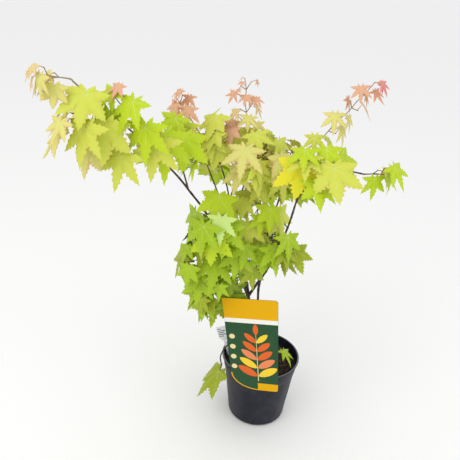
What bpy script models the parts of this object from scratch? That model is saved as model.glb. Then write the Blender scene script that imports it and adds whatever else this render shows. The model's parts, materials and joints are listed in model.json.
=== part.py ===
"""A young Japanese maple in a plastic nursery pot, with a plant label hung on the rim.

Everything is in metres with +Z up. The origin is the centre of the pot's flat
underside, and the photo looks along +Y from slightly above. The tree is grown from
the named sizes in BOUGHS and MASSES: a bough is one tapering arc, and a mass is
leafy twigs that branch in opposite pairs from one stem, inside a space of their own.
"""

import math
import random

import bmesh
import bpy
from mathutils import Matrix, Vector
from mathutils.bvhtree import BVHTree

GAP = 0.0003  # air left between pieces that meet
SLOT_MARGIN = 0.00054  # how much wider a slot in the soil is than what stands in it
ROUND_STEPS = 26

# Pot
POT_HEIGHT = 0.157
RIM_RADIUS = 0.0865
BASE_RADIUS = 0.0635
WALL = 0.0016
LIP_HEIGHT = 0.004
LIP_WIDTH = 0.0022
EDGE_SOFTENING = 0.001  # how far the lip's edges are chamfered
COLLAR_HEIGHT = 0.030
COLLAR_STEP = 0.0012
BASE_ROUNDING = 0.010
DRAIN_HOLES = 6
DRAIN_HOLE_RADIUS = 0.005
DRAIN_HOLE_SIDES = 8
DRAIN_RING_RADIUS = 0.040

# Soil
SOIL_TOP = 0.1415
SOIL_CROWNING = 0.0035  # how much higher it stands round the stem than at the wall
SOIL_LEVEL_RADIUS = 0.022  # its top is level this far from the stem
SOIL_SLOPE_RADIUS = 0.055  # and more than half of its fall is reached here
SOIL_SLOPE_SHARE = 0.6

# Label: a card that hangs outside the rim from a tongue pushed down inside it
CARD_HEIGHT = 0.233
CARD_TOP_WIDTH = 0.113
CARD_FOOT_WIDTH = 0.098
CARD_THICKNESS = 0.0008
CARD_CORNER = 0.006
CARD_SWEEP_WIDTH = 0.058  # the big rounded corner, lower left
CARD_SWEEP_HEIGHT = 0.044
CARD_FOOT = (-0.0034, -0.0869, 0.1264)
CARD_LEAN = 3  # degrees that its top leans towards the front
CARD_TURN = 6  # degrees that it faces to the left of the front
CARD_TILT = 6.7  # degrees that its top leans to the left
TONGUE_WIDTH = 0.018
TONGUE_THICKNESS = 0.0009
TONGUE_DEPTH = 0.118  # height of its lower end
TONGUE_TOP = 0.169
TONGUE_INSET = 0.0015  # between its outer face and the pot's inner wall
TONGUE_START = 0.001  # how far above the rim its front end is

# Small white tag, stuck in the soil
TAG_HEAD_WIDTH = 0.024
TAG_HEAD_HEIGHT = 0.033
TAG_STEM_WIDTH = 0.006
TAG_STEM_LENGTH = 0.074
TAG_THICKNESS = 0.0008
TAG_POINT_SHARE = 0.4  # the width of its stem's lower end
TAG_POINT_HEIGHT = 0.008
TAG_SHOULDER = 0.006  # height over which its stem widens to the head
TAG_FOOT = (-0.063, 0.004, 0.113)
TAG_LEAN = 17  # degrees that it leans out over the rim

# Trunk: an arc from the soil to the highest fork
TRUNK = {"heading": 180, "rise": 77, "length": 0.400, "sweep": 0, "lift": -1}
TRUNK_BASE = 0.0062
TRUNK_TIP = 0.0019
FLARE_RADIUS = 0.0115
FLARE_HEIGHT = 0.014
FLARE_SUNK = 0.004  # how far below its flat cut it is built first
FLARE_SPLAY = 0.0013  # how much wider it is down there
FLARE_LEAN = 0.12
# Share of the flare's height, and share of its spread that is left there
FLARE_SHAPE = ((0, 1), (0.3, 0.62), (0.65, 0.28), (1, 0))
CUT_MARGIN = 0.0004  # clearance of a bough from what it grows from
TRUNK_SIDES = 8
LIMB_SIDES = 6
LIMB_TIP = 0.0013
TAPER_POWER = 1.2  # above 1, a limb thins more quickly at its start

# One arc each: what it grows from, where along that, how many degrees its start is
# turned from +X and raised, its length, how much further it turns and rises by its
# tip, and its radius at the start.
BOUGHS = {
    "left": ("trunk", 0.38, -152, 71, 0.560, 25, -33, 0.0031),
    "right": ("trunk", 0.42, -20, 62, 0.380, -66, 15, 0.0030),
    "mid": ("trunk", 0.18, 140, 91, 0.340, -140, -19, 0.0032),
    "upper_a": ("trunk", 0.93, -164, 79, 0.150, 38, -16, 0.0016),
    "upper_b": ("trunk", 0.98, -27, 72, 0.140, -19, 8, 0.0016),
    "left_far": ("left", 0.93, -137, 43, 0.100, 0, 0, 0.0014),
    "left_arm": ("left", 0.74, -107, 47, 0.100, 0, 0, 0.0015),
    "left_top": ("left", 0.86, -95, 62, 0.052, 0, 0, 0.0014),
    "left_knee": ("left", 0.58, -107, 64, 0.094, 0, 0, 0.0016),
    "tuft": ("upper_a", 0.60, -139, 55, 0.130, 0, 0, 0.0013),
    "crown": ("upper_b", 0.35, -60, 37, 0.069, 0, 0, 0.0013),
    "right_low": ("right", 0.62, -78, 69, 0.150, 25, -36, 0.0017),
    "far_right": ("right", 0.80, -87, 65, 0.150, 104, -80, 0.0015),
    "column": ("mid", 0.62, -115, 74, 0.100, 0, 0, 0.0016),
    "shoulder": ("left", 0.32, -104, 49, 0.079, 0, 0, 0.0019),
    "waist": ("left", 0.20, -161, 13, 0.086, 29, 35, 0.0018),
    "skirt": ("left", 0.09, -136, 12, 0.098, -3, 30, 0.0018),
    "front": ("trunk", 0.50, -94, 57, 0.110, 0, 0, 0.0018),
    "right_waist": ("right", 0.36, -77, 66, 0.049, 0, 0, 0.0017),
    "low_shoot": ("trunk", 0.05, -132, 97, 0.170, -39, -206, 0.0018),
    "sprout": ("trunk", 0.035, -22, 30, 0.052, -4, 5, 0.0015),
    "back_left": ("trunk", 0.72, 130, 45, 0.180, 0, 0, 0.0020),
    "back_right": ("mid", 0.72, 78, 30, 0.120, 0, 0, 0.0016),
    "back_top": ("trunk", 0.88, 78, 38, 0.130, 0, 0, 0.0017),
    "back_low_left": ("trunk", 0.46, 131, 30, 0.130, 0, 0, 0.0022),
    "back_low_right": ("mid", 0.34, 83, 34, 0.105, 0, 0, 0.0019),
}

# Foliage at a bough's tip: the bough, the stem's turn, rise and length, how far the
# middles of leaves may be from that stem, how much further they may hang below it, the
# length of a leaf, how steeply leaves hang, the pairs of side twigs, and a seed.
MASSES = {
    "leaves_far_left": ("left_far", -165, 2, 0.046, 0.027, 0.012, 0.042, 66, 2, 5),
    "leaves_left_fan": ("left", -140, -12, 0.046, 0.044, 0.040, 0.068, 62, 3, 5),
    "leaves_left_mid": ("left_arm", -76, -20, 0.034, 0.046, 0.036, 0.078, 62, 3, 11),
    "leaves_left_top": ("left_top", -110, 10, 0.030, 0.040, 0.006, 0.046, 58, 3, 9),
    "leaves_knee": ("left_knee", -141, 40, 0.028, 0.048, 0.000, 0.058, 55, 3, 6),
    "leaves_tuft": ("tuft", -155, 58, 0.042, 0.030, 0.004, 0.036, 60, 2, 30),
    "leaves_crown_left": ("upper_a", -70, 62, 0.038, 0.046, 0.024, 0.054, 55, 3, 22),
    "leaves_top": ("upper_b", -125, 84, 0.106, 0.036, 0.000, 0.034, 50, 4, 39),
    "leaves_crown": ("crown", -52, 54, 0.050, 0.056, 0.006, 0.060, 55, 3, 34),
    "leaves_crown_right": ("mid", -91, 71, 0.080, 0.043, 0.008, 0.056, 55, 3, 35),
    "leaves_right_arm": ("right", -30, 50, 0.166, 0.024, 0.010, 0.038, 52, 5, 3),
    "leaves_right_low": ("right_low", -100, 40, 0.036, 0.050, 0.006, 0.062, 50, 3, 36),
    "leaves_far_right": ("far_right", -11, 4, 0.040, 0.026, 0.010, 0.046, 60, 2, 23),
    "leaves_column": ("column", -100, 20, 0.032, 0.050, 0.036, 0.056, 60, 4, 31),
    "leaves_shoulder": ("shoulder", -85, 45, 0.032, 0.048, 0.022, 0.064, 52, 3, 38),
    "leaves_waist": ("waist", -80, -20, 0.036, 0.047, 0.030, 0.058, 55, 3, 28),
    "leaves_skirt": ("skirt", -50, -40, 0.035, 0.047, 0.034, 0.058, 58, 3, 27),
    "leaves_front": ("front", -70, 20, 0.026, 0.044, 0.030, 0.056, 62, 4, 4),
    "leaves_right_waist": ("right_waist", -72, -30, 0.028, 0.044, 0.004, 0.056, 50, 3, 18),
    "leaves_low_shoot": ("low_shoot", -120, -75, 0.010, 0.040, 0.006, 0.115, 56, 1, 1),
    "leaves_sprout": ("sprout", -20, 10, 0.010, 0.024, 0.000, 0.064, 40, 0, 11),
    "leaves_back_left": ("back_left", 114, 10, 0.050, 0.056, 0.012, 0.064, 55, 2, 33),
    "leaves_back_right": ("back_right", 77, 24, 0.041, 0.056, 0.012, 0.064, 55, 3, 5),
    "leaves_back_top": ("back_top", 87, 25, 0.050, 0.056, 0.012, 0.060, 55, 3, 20),
    "leaves_back_low_left": ("back_low_left", 112, -8, 0.050, 0.056, 0.012, 0.062, 55, 2, 4),
    "leaves_back_low_right": ("back_low_right", 77, -9, 0.050, 0.056, 0.012, 0.062, 55, 2, 12),
}

# How twigs and leaves grow
ARC_STEPS = 8
STRAIGHT_STEPS = 2
STRAIGHT_START = 0.005  # a stem leaves its bough's tip this far in line with it
STEM_WANDER = 0.12
STEM_SEARCH = 14  # degrees by which a blocked stem is turned at each new try
TWIG_BASE = 0.0012
TWIG_TIP = 0.0009
NODE_INSET = 0.0015  # how far before a twig's end its last leaves sit
FIRST_TURN = 20  # degrees by which the first pair of twigs may be off level
UPRIGHT = 0.05  # a shoot that leans less than this has +X as its level side
TWIG_ANGLE = 58  # degrees between a stem and its side twigs
TWIG_ANGLE_SPREAD = 12
TWIG_TURN_SPREAD = 15
TWIG_SHARE = 0.60  # a side twig's length as a share of the mass's reach
TWIG_FIRST = 1.15  # the lowest side twigs are longer than that, and
TWIG_LOSS = 0.45  # the highest are shorter by this much
TWIG_RISE = 0.10  # how much a twig curves upwards at each node
TWIG_SHRINK = 0.94
TWIG_CLEAR_SHARE = 0.35  # a twig keeps clear of others from this far out
NODE_SPACING = 0.022
LEAF_ANGLE = 52  # degrees between a twig and its leaf stalks
LEAF_ANGLE_SPREAD = 25
LEAF_TURN_SPREAD = 40
LEAF_SIZE_SPREAD = 0.12
OLD_LEAF_SIZE = 1.1  # size of the leaves at a stem's start
STALK_SHARE = 0.34  # a leaf stalk's length as a share of its leaf's
STALK_SHORTEST = 0.6
STALK_LONGEST = 1.5
STALK_SAG = 0.2
STALK_RADIUS = 0.0005
STALK_TAPER = (1.1, 0.8)  # its radius at each end, as shares of that
STALK_PROBES = (0.3, 0.6, 0.9)  # where along a stalk its own clearance is tested
STALK_KEPT = (0.15, 0.85)  # the stretch of it that later twigs and leaves keep clear of
STALK_INSET = 0.03  # how far short of the blade's thickest point a stalk ends
LEAF_THICKNESS = 0.0013
LEAF_DROOP_SPREAD = 20
LEAF_ROLL = 18
YOUNG_SHARE = 0.40  # how much smaller leaves get towards a stem's end
CROWN_AXIS = (-0.06, 0.02)  # blades turn outwards from here, towards the light
TOWARDS_LIGHT = 1.3
TRIES = 16
SHRINK = 0.985  # how much smaller a leaf is at each new try
CLEARANCE = 0.0007
STEM_MARGIN = 0.0022
TWIG_MARGIN = 0.0022
STALK_MARGIN = 0.0013
LEAF_MIDDLE = 0.45  # where a leaf counts as being, as a share of its length

# Foliage keeps the card and the fork in view from this place. On the card's own plane it
# keeps out of the card's height and half width, and above them out of the fork's height,
# to half a width each side of its middle.
VIEW_PLACE = (0, -1.0293, 0.9472)
VIEW_CARD = (0.236, 0.060)
VIEW_FORK = (0.285, 0.004, 0.026)

# A leaf's five lobes and the notches between them, as turn from the middle lobe in
# degrees, reach as a share of the leaf's length, and drop as a share of it. The
# stalk joins where all of them start.
LEAF_OUTLINE = (
    (0, 1.00, 0.16),
    (23, 0.58, 0.02),
    (46, 0.86, 0.16),
    (71, 0.50, 0.02),
    (99, 0.60, 0.12),
    (180, 0.14, -0.01),
    (261, 0.60, 0.12),
    (289, 0.50, 0.02),
    (314, 0.86, 0.16),
    (337, 0.58, 0.02),
)

COLOURS = {
    "pot_plastic": ("2B2B35", 0.55),
    "soil": ("2A1D16", 0.95),
    "card": ("2F5D38", 0.45),
    "tag": ("E9ECF2", 0.50),
    "bark": ("3A2D22", 0.80),
    "leaf_lime": ("9DB81E", 0.55),
    "leaf_yellow": ("B9C63A", 0.55),
    "leaf_orange": ("D09A62", 0.55),
}
ORANGE_MASSES = ("leaves_tuft", "leaves_top", "leaves_far_left")
YELLOW_MASSES = ("leaves_left_fan", "leaves_crown", "leaves_right_arm", "leaves_crown_right")


def clear_scene():
    for obj in list(bpy.data.objects):
        bpy.data.objects.remove(obj, do_unlink=True)


def linear(hex_colour):
    """The linear colour, with alpha, of an sRGB hex string."""
    channels = [int(hex_colour[i : i + 2], 16) / 255 for i in (0, 2, 4)]
    return [c / 12.92 if c < 0.04045 else ((c + 0.055) / 1.055) ** 2.4 for c in channels] + [1]


def make_materials():
    made = {}
    for name, (colour, roughness) in COLOURS.items():
        material = bpy.data.materials.new(name)
        material.use_nodes = True
        shader = material.node_tree.nodes["Principled BSDF"]
        shader.inputs["Base Color"].default_value = linear(colour)
        shader.inputs["Roughness"].default_value = roughness
        made[name] = material
    return made


# Making meshes


def add_object(name, data):
    obj = bpy.data.objects.new(name, data)
    bpy.context.scene.collection.objects.link(obj)
    return obj


def remove(obj):
    data = obj.data
    bpy.data.objects.remove(obj)
    if data.users == 0:
        (bpy.data.curves if isinstance(data, bpy.types.Curve) else bpy.data.meshes).remove(data)


def evaluated_mesh(obj):
    graph = bpy.context.evaluated_depsgraph_get()
    return bpy.data.meshes.new_from_object(obj.evaluated_get(graph))


def weld(mesh, distance=1e-6):
    work = bmesh.new()
    work.from_mesh(mesh)
    bmesh.ops.remove_doubles(work, verts=work.verts, dist=distance)
    bmesh.ops.recalc_face_normals(work, faces=work.faces)
    work.to_mesh(mesh)
    work.free()


def as_mesh(curve_object):
    """Turn a curve object into a closed mesh object of the same name."""
    mesh = evaluated_mesh(curve_object)
    weld(mesh)
    name = curve_object.name
    place = curve_object.matrix_world.copy()
    remove(curve_object)
    obj = add_object(name, mesh)
    obj.matrix_world = place
    return obj


def apply_modifiers(obj):
    mesh = evaluated_mesh(obj)
    obj.modifiers.clear()
    old = obj.data
    obj.data = mesh
    bpy.data.meshes.remove(old)


def turned(name, profile, steps=ROUND_STEPS):
    """A solid turned round Z from (radius, height) points, outer side top to bottom."""
    mesh = bpy.data.meshes.new(name)
    points = [(radius, 0, height) for radius, height in profile]
    mesh.from_pydata(points, [(i, i + 1) for i in range(len(points) - 1)], [])
    obj = add_object(name, mesh)
    screw = obj.modifiers.new("turn", "SCREW")
    screw.steps = steps
    screw.render_steps = steps
    screw.use_merge_vertices = True
    screw.merge_threshold = 1e-5
    apply_modifiers(obj)
    weld(obj.data)
    return obj


def polygon_curve(name, sides):
    """A ring of unit radius, which a limb is swept with."""
    curve = bpy.data.curves.new(name, "CURVE")
    spline = curve.splines.new("POLY")
    spline.points.add(sides - 1)
    for i, point in enumerate(spline.points):
        turn = 2 * math.pi * i / sides
        point.co = (math.cos(turn), math.sin(turn), 0, 1)
    spline.use_cyclic_u = True
    return add_object(name, curve)


def tube(name, path, radii, ring):
    """A closed tube along the path whose radius changes from point to point."""
    curve = bpy.data.curves.new(name, "CURVE")
    curve.dimensions = "3D"
    curve.bevel_mode = "OBJECT"
    curve.bevel_object = ring
    curve.use_fill_caps = True
    spline = curve.splines.new("POLY")
    spline.points.add(len(path) - 1)
    for point, place, radius in zip(spline.points, path, radii):
        point.co = (*place, 1)
        point.radius = radius
    return as_mesh(add_object(name, curve))


def plate(name, outline, thickness):
    """A flat plate in the XY plane with the given outline, half its thickness each way."""
    curve = bpy.data.curves.new(name, "CURVE")
    curve.dimensions = "2D"
    curve.fill_mode = "BOTH"
    curve.extrude = thickness / 2
    spline = curve.splines.new("POLY")
    spline.points.add(len(outline) - 1)
    for point, (x, y) in zip(spline.points, outline):
        point.co = (x, y, 0, 1)
    spline.use_cyclic_u = True
    return as_mesh(add_object(name, curve))


def settle(obj, matrix):
    """Put a mesh object in its place and write the place into its vertices."""
    obj.data.transform(matrix)
    obj.matrix_world = Matrix.Identity(4)


def boolean(obj, operation, other=None, collection=None):
    modifier = obj.modifiers.new(operation.lower(), "BOOLEAN")
    modifier.operation = operation
    modifier.solver = "EXACT"
    if collection:
        modifier.operand_type = "COLLECTION"
        modifier.collection = collection
    else:
        modifier.object = other
    apply_modifiers(obj)


def cut_away(obj, cutter):
    """Cut one mesh out of another, and remove the cutter."""
    boolean(obj, "DIFFERENCE", other=cutter)
    remove(cutter)


def keep_largest(obj):
    """Drop the crumbs that a cut leaves, such as the end of a bough inside its parent."""
    work = bmesh.new()
    work.from_mesh(obj.data)
    left = set(work.verts)
    islands = []
    while left:
        island = set()
        edge = [left.pop()]
        while edge:
            vert = edge.pop()
            island.add(vert)
            for link in vert.link_edges:
                other = link.other_vert(vert)
                if other in left:
                    left.remove(other)
                    edge.append(other)
        islands.append(island)
    islands.sort(key=len)
    crumbs = [vert for island in islands[:-1] for vert in island]
    bmesh.ops.delete(work, geom=crumbs, context="VERTS")
    work.to_mesh(obj.data)
    work.free()


def paint(obj, material, smooth=False):
    obj.data.materials.clear()
    obj.data.materials.append(material)
    obj.data.polygons.foreach_set("use_smooth", [smooth] * len(obj.data.polygons))


# Pot, soil and label


def arc_points(centre, radii, start, end, count):
    """Points on part of an ellipse, from start to end in degrees."""
    turns = [math.radians(start + (end - start) * i / count) for i in range(count + 1)]
    return [
        (centre[0] + radii[0] * math.cos(turn), centre[1] + radii[1] * math.sin(turn))
        for turn in turns
    ]


def wall_radius(height):
    """The radius of the pot's outside at a height below its collar."""
    body_top = RIM_RADIUS - LIP_WIDTH - COLLAR_STEP
    return BASE_RADIUS + (body_top - BASE_RADIUS) * height / POT_HEIGHT


def build_pot():
    collar_foot = POT_HEIGHT - COLLAR_HEIGHT
    collar_radius = RIM_RADIUS - LIP_WIDTH
    collar_foot_radius = wall_radius(collar_foot) + COLLAR_STEP
    rounding = arc_points(
        (wall_radius(BASE_ROUNDING) - BASE_ROUNDING, BASE_ROUNDING),
        (BASE_ROUNDING, BASE_ROUNDING),
        0,
        -90,
        3,
    )
    profile = [
        (0, WALL),
        (wall_radius(0) - BASE_ROUNDING, WALL),
        (wall_radius(BASE_ROUNDING) - WALL, BASE_ROUNDING),
        (wall_radius(collar_foot) - WALL, collar_foot),
        (collar_radius - WALL, POT_HEIGHT),
        (RIM_RADIUS - EDGE_SOFTENING, POT_HEIGHT),
        (RIM_RADIUS, POT_HEIGHT - EDGE_SOFTENING),
        (RIM_RADIUS, POT_HEIGHT - LIP_HEIGHT),
        (collar_radius, POT_HEIGHT - LIP_HEIGHT - EDGE_SOFTENING),
        (collar_foot_radius, collar_foot + COLLAR_STEP),
        (wall_radius(collar_foot), collar_foot),
        *rounding,
        (0, 0),
    ]
    pot = turned("pot", profile)
    for i in range(DRAIN_HOLES):
        turn = 2 * math.pi * (i + 0.5) / DRAIN_HOLES
        bpy.ops.mesh.primitive_cylinder_add(
            vertices=DRAIN_HOLE_SIDES,
            radius=DRAIN_HOLE_RADIUS,
            depth=6 * WALL,
            location=(DRAIN_RING_RADIUS * math.cos(turn), DRAIN_RING_RADIUS * math.sin(turn), 0),
        )
        cut_away(pot, bpy.context.object)
    return pot


def inner_radius(height):
    """The radius of the pot's inside, up to the soil's top."""
    collar_foot = POT_HEIGHT - COLLAR_HEIGHT
    if height <= collar_foot:
        return wall_radius(height) - WALL
    foot = wall_radius(collar_foot) - WALL
    top = RIM_RADIUS - LIP_WIDTH - WALL
    return foot + (top - foot) * (height - collar_foot) / COLLAR_HEIGHT


def build_soil():
    collar_foot = POT_HEIGHT - COLLAR_HEIGHT
    floor = WALL + GAP
    # A turned wall is a ring of flats, so the soil stays inside their middles.
    flat = math.cos(math.pi / ROUND_STEPS)
    side = [(inner_radius(h) * flat - 2 * GAP, h) for h in (SOIL_TOP, collar_foot, BASE_ROUNDING)]
    profile = [
        (0, SOIL_TOP),
        (SOIL_LEVEL_RADIUS, SOIL_TOP),
        (SOIL_SLOPE_RADIUS, SOIL_TOP - SOIL_SLOPE_SHARE * SOIL_CROWNING),
        (side[0][0], SOIL_TOP - SOIL_CROWNING),
        side[1],
        side[2],
        ((wall_radius(0) - BASE_ROUNDING) * flat - 2 * GAP, floor),
        (0, floor),
    ]
    return turned("soil", profile)


def card_matrix():
    """From the card's own X (right), Y (up) and Z (front) to its place."""
    face = Matrix.Rotation(math.radians(-CARD_TURN), 4, "Z") @ Matrix.Rotation(
        math.radians(90 + CARD_LEAN), 4, "X"
    )
    return Matrix.Translation(CARD_FOOT) @ face @ Matrix.Rotation(math.radians(CARD_TILT), 4, "Z")


def card_outline():
    """The card's outline from the end of its swept corner, anticlockwise."""
    foot = CARD_FOOT_WIDTH / 2
    top = CARD_TOP_WIDTH / 2
    taper = (top - foot) / CARD_HEIGHT
    corner = CARD_CORNER
    lower = arc_points((foot - corner, corner), (corner, corner), -90, 0, 4)
    upper = arc_points((top - corner, CARD_HEIGHT - corner), (corner, corner), 0, 90, 4)
    left = -foot - taper * CARD_SWEEP_HEIGHT
    sweep = arc_points(
        (left + CARD_SWEEP_WIDTH, CARD_SWEEP_HEIGHT),
        (CARD_SWEEP_WIDTH, CARD_SWEEP_HEIGHT),
        180,
        270,
        8,
    )
    return lower + upper + [(-top, CARD_HEIGHT)] + sweep


def tongue_outline():
    """The tongue seen from its side: up behind the card, over the rim and down inside."""
    thick = TONGUE_THICKNESS
    front = -RIM_RADIUS - GAP - thick
    inside = TONGUE_INSET - inner_radius(SOIL_TOP)
    low = TONGUE_INSET - inner_radius(TONGUE_DEPTH)
    start = POT_HEIGHT + TONGUE_START
    return [
        (front, start),
        (front, TONGUE_TOP),
        (inside + thick, TONGUE_TOP),
        (inside + thick, SOIL_TOP),
        (low + thick, TONGUE_DEPTH),
        (low, TONGUE_DEPTH),
        (inside, SOIL_TOP),
        (inside, TONGUE_TOP - thick),
        (front + thick, TONGUE_TOP - thick),
        (front + thick, start),
    ]


def build_tongue():
    tongue = plate("label_tongue", tongue_outline(), TONGUE_WIDTH)
    # The outline's X becomes depth and its Y height; the plate's thickness runs across.
    upright = Matrix(((0, 0, 1, 0), (1, 0, 0, 0), (0, 1, 0, 0), (0, 0, 0, 1)))
    settle(tongue, Matrix.Rotation(math.radians(-CARD_TURN), 4, "Z") @ upright)
    return tongue


def grown_copy(obj, margin):
    """A copy with every vertex moved out along its normal."""
    copy = add_object(obj.name + "_grown", obj.data.copy())
    normals = [vert.normal.copy() for vert in copy.data.vertices]
    for vert, normal in zip(copy.data.vertices, normals):
        vert.co += normal * margin
    return copy


def build_label(soil):
    card = plate("label_card", card_outline(), CARD_THICKNESS)
    settle(card, card_matrix())
    tongue = build_tongue()
    cut_away(soil, grown_copy(tongue, SLOT_MARGIN))
    return card, tongue


def build_tag(soil):
    head = TAG_HEAD_WIDTH / 2
    stem = TAG_STEM_WIDTH / 2
    point = stem * TAG_POINT_SHARE
    shoulder = TAG_STEM_LENGTH
    top = TAG_STEM_LENGTH + TAG_HEAD_HEIGHT
    right = [
        (point, 0),
        (stem, TAG_POINT_HEIGHT),
        (stem, shoulder - TAG_SHOULDER),
        (head, shoulder),
        (head, top),
    ]
    outline = right + [(-x, y) for x, y in reversed(right)]
    tag = plate("tag", outline, TAG_THICKNESS)
    stand = Matrix.Rotation(math.radians(90), 4, "X")
    lean = Matrix.Rotation(math.radians(-TAG_LEAN), 4, "Y")
    settle(tag, Matrix.Translation(TAG_FOOT) @ lean @ stand)
    cut_away(soil, grown_copy(tag, SLOT_MARGIN))
    return tag


# Growing the tree


def direction(heading, rise):
    heading, rise = math.radians(heading), math.radians(rise)
    level = math.cos(rise)
    return Vector((level * math.cos(heading), level * math.sin(heading), math.sin(rise)))


def arc_path(start, heading, rise, length, sweep, lift, steps=ARC_STEPS):
    if not sweep and not lift:
        steps = STRAIGHT_STEPS
    path = [Vector(start)]
    for i in range(steps):
        share = (i + 0.5) / steps
        way = direction(heading + sweep * share, rise + lift * share)
        path.append(path[-1] + way * length / steps)
    return path


def along(values, share):
    """The value at a share of the way along an evenly spaced list."""
    place = share * (len(values) - 1)
    index = min(int(place), len(values) - 2)
    return values[index] + (values[index + 1] - values[index]) * (place - index)


def between(path):
    """The points of a path and the middles of its stretches."""
    return [*path, *(before.lerp(after, 0.5) for before, after in zip(path, path[1:]))]


def tapering(start, end, count):
    """Radii that thin quickly at first and then evenly."""
    return [end + (start - end) * (1 - i / (count - 1)) ** TAPER_POWER for i in range(count)]


def limb_lines():
    """The centre line and the radii of the trunk and each bough."""
    base = Vector((0, 0, SOIL_TOP + GAP))
    path = arc_path(base, *TRUNK.values())
    lines = {"trunk": (path, tapering(TRUNK_BASE, TRUNK_TIP, len(path)))}
    for name, (parent, share, heading, rise, length, sweep, lift, radius) in BOUGHS.items():
        path = arc_path(along(lines[parent][0], share), heading, rise, length, sweep, lift)
        lines[name] = (path, tapering(radius, LIMB_TIP, len(path)))
    return lines


def build_trunk(line, ring):
    """The trunk, with its root flare and its flat cut at the soil."""
    path, radii = line
    foot = path[0]
    spread = FLARE_RADIUS - TRUNK_BASE
    low_path = [foot - Vector((0, 0, FLARE_SUNK))]
    low_radii = [FLARE_RADIUS + FLARE_SPLAY]
    for share, extra in FLARE_SHAPE:
        height = FLARE_HEIGHT * share
        low_path.append(foot + Vector((-FLARE_LEAN * height * share, 0, height)))
        low_radii.append(TRUNK_BASE + spread * extra)
    trunk = tube("trunk", low_path + path[1:], low_radii + radii[1:], ring)
    cutter = 8 * FLARE_RADIUS
    bpy.ops.mesh.primitive_cube_add(size=cutter, location=foot - Vector((0, 0, cutter / 2)))
    cut_away(trunk, bpy.context.object)
    return trunk


def build_limbs(lines):
    trunk_ring = polygon_curve("trunk_ring", TRUNK_SIDES)
    limb_ring = polygon_curve("limb_ring", LIMB_SIDES)
    limbs = {"trunk": build_trunk(lines["trunk"], trunk_ring)}
    for name in BOUGHS:
        limbs[name] = tube("bough_" + name, *lines[name], limb_ring)
    children = {}
    for name, values in BOUGHS.items():
        family = children.setdefault(values[0], [])
        for other in (values[0], *family):
            cut_away(limbs[name], grown_copy(limbs[other], CUT_MARGIN))
        keep_largest(limbs[name])
        family.append(name)
    remove(trunk_ring)
    remove(limb_ring)
    return limbs


class Obstacles:
    """Everything built so far, which a new twig or leaf must keep clear of."""

    def __init__(self):
        self.items = []

    def add(self, points, faces):
        centre = sum(points, Vector()) / len(points)
        radius = max((point - centre).length for point in points)
        tree = BVHTree.FromPolygons([tuple(p) for p in points], faces)
        self.items.append((centre, radius, tree))

    def add_object(self, obj):
        mesh = obj.data
        self.add([vert.co.copy() for vert in mesh.vertices], [tuple(p.vertices) for p in mesh.polygons])

    def near(self, centre, radius):
        return [tree for middle, size, tree in self.items if (middle - centre).length < size + radius]

    def touches_points(self, points, margin):
        """Whether any of the points is closer to an obstacle than the margin."""
        for point in points:
            for tree in self.near(point, margin):
                if tree.find_nearest(point, margin)[0] is not None:
                    return True
        return False

    def touches_path(self, path, margin):
        """Whether a thin shoot along the path would come closer than the margin."""
        if self.touches_points(between(path), margin):
            return True
        return self.touches_mesh(*tube_shape(path, margin))

    def touches_mesh(self, points, faces):
        centre = sum(points, Vector()) / len(points)
        radius = max((point - centre).length for point in points)
        close = self.near(centre, radius)
        if not close:
            return False
        tree = BVHTree.FromPolygons([tuple(p) for p in points], faces)
        return any(other.overlap(tree) for other in close)


def leaf_shape(place, length, margin=0.0):
    """The points and faces of one leaf blade: a drooping star, thick in the middle."""
    half = LEAF_THICKNESS / 2 + margin
    points = [place @ Vector((0, 0, half)), place @ Vector((0, 0, -half))]
    for turn, reach, drop in LEAF_OUTLINE:
        turn = math.radians(turn)
        out = reach * length + 2 * margin
        spot = Vector((out * math.sin(turn), out * math.cos(turn), -drop * length))
        points.append(place @ spot)
    count = len(LEAF_OUTLINE)
    faces = []
    for i in range(count):
        here, after = 2 + i, 2 + (i + 1) % count
        faces.append((0, after, here))
        faces.append((1, here, after))
    return points, faces


def tube_shape(path, radius):
    """The points and faces of a thin three-sided tube, for keeping clear of it."""
    points = []
    for i, place in enumerate(path):
        way = (path[min(i + 1, len(path) - 1)] - path[max(i - 1, 0)]).normalized()
        side = way.orthogonal().normalized()
        for turn in (0, 120, 240):
            points.append(place + Matrix.Rotation(math.radians(turn), 3, way) @ side * radius)
    faces = []
    for i in range(len(path) - 1):
        for k in range(3):
            a, b = 3 * i + k, 3 * i + (k + 1) % 3
            faces.append((a, b, b + 3, a + 3))
    return points, faces


def leaf_place(root, way, droop, roll):
    """Where a blade lies: its Y runs out and down from the stalk, and its face is up."""
    light = Vector((root.x - CROWN_AXIS[0], root.y - CROWN_AXIS[1], 0)).normalized()
    level = Vector((way.x, way.y, 0)) + light * TOWARDS_LIGHT
    level = level.normalized()
    droop = math.radians(droop)
    down = level * math.cos(droop) - Vector((0, 0, math.sin(droop)))
    face = level * math.sin(droop) + Vector((0, 0, math.cos(droop)))
    axes = Matrix((down.cross(face), down, face)).transposed().to_4x4()
    return Matrix.Translation(root) @ axes @ Matrix.Rotation(math.radians(roll), 4, "Y")


class CardView:
    """The space between the viewing place and the card, and the fork just above it."""

    def __init__(self):
        self.to_card = card_matrix().inverted()
        self.eye = self.to_card @ Vector(VIEW_PLACE)

    def holds(self, point):
        """Whether a leaf at the point would hide the card or the fork."""
        spot = self.to_card @ point
        if not 0 < spot.z < self.eye.z:
            return False
        seen = spot + (self.eye - spot) * spot.z / (spot.z - self.eye.z)
        top, side = VIEW_CARD
        fork_top, fork_side, fork_half = VIEW_FORK
        on_card = 0 < seen.y < top and abs(seen.x) < side
        return on_card or (top <= seen.y < fork_top and abs(seen.x - fork_side) < fork_half)


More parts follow.
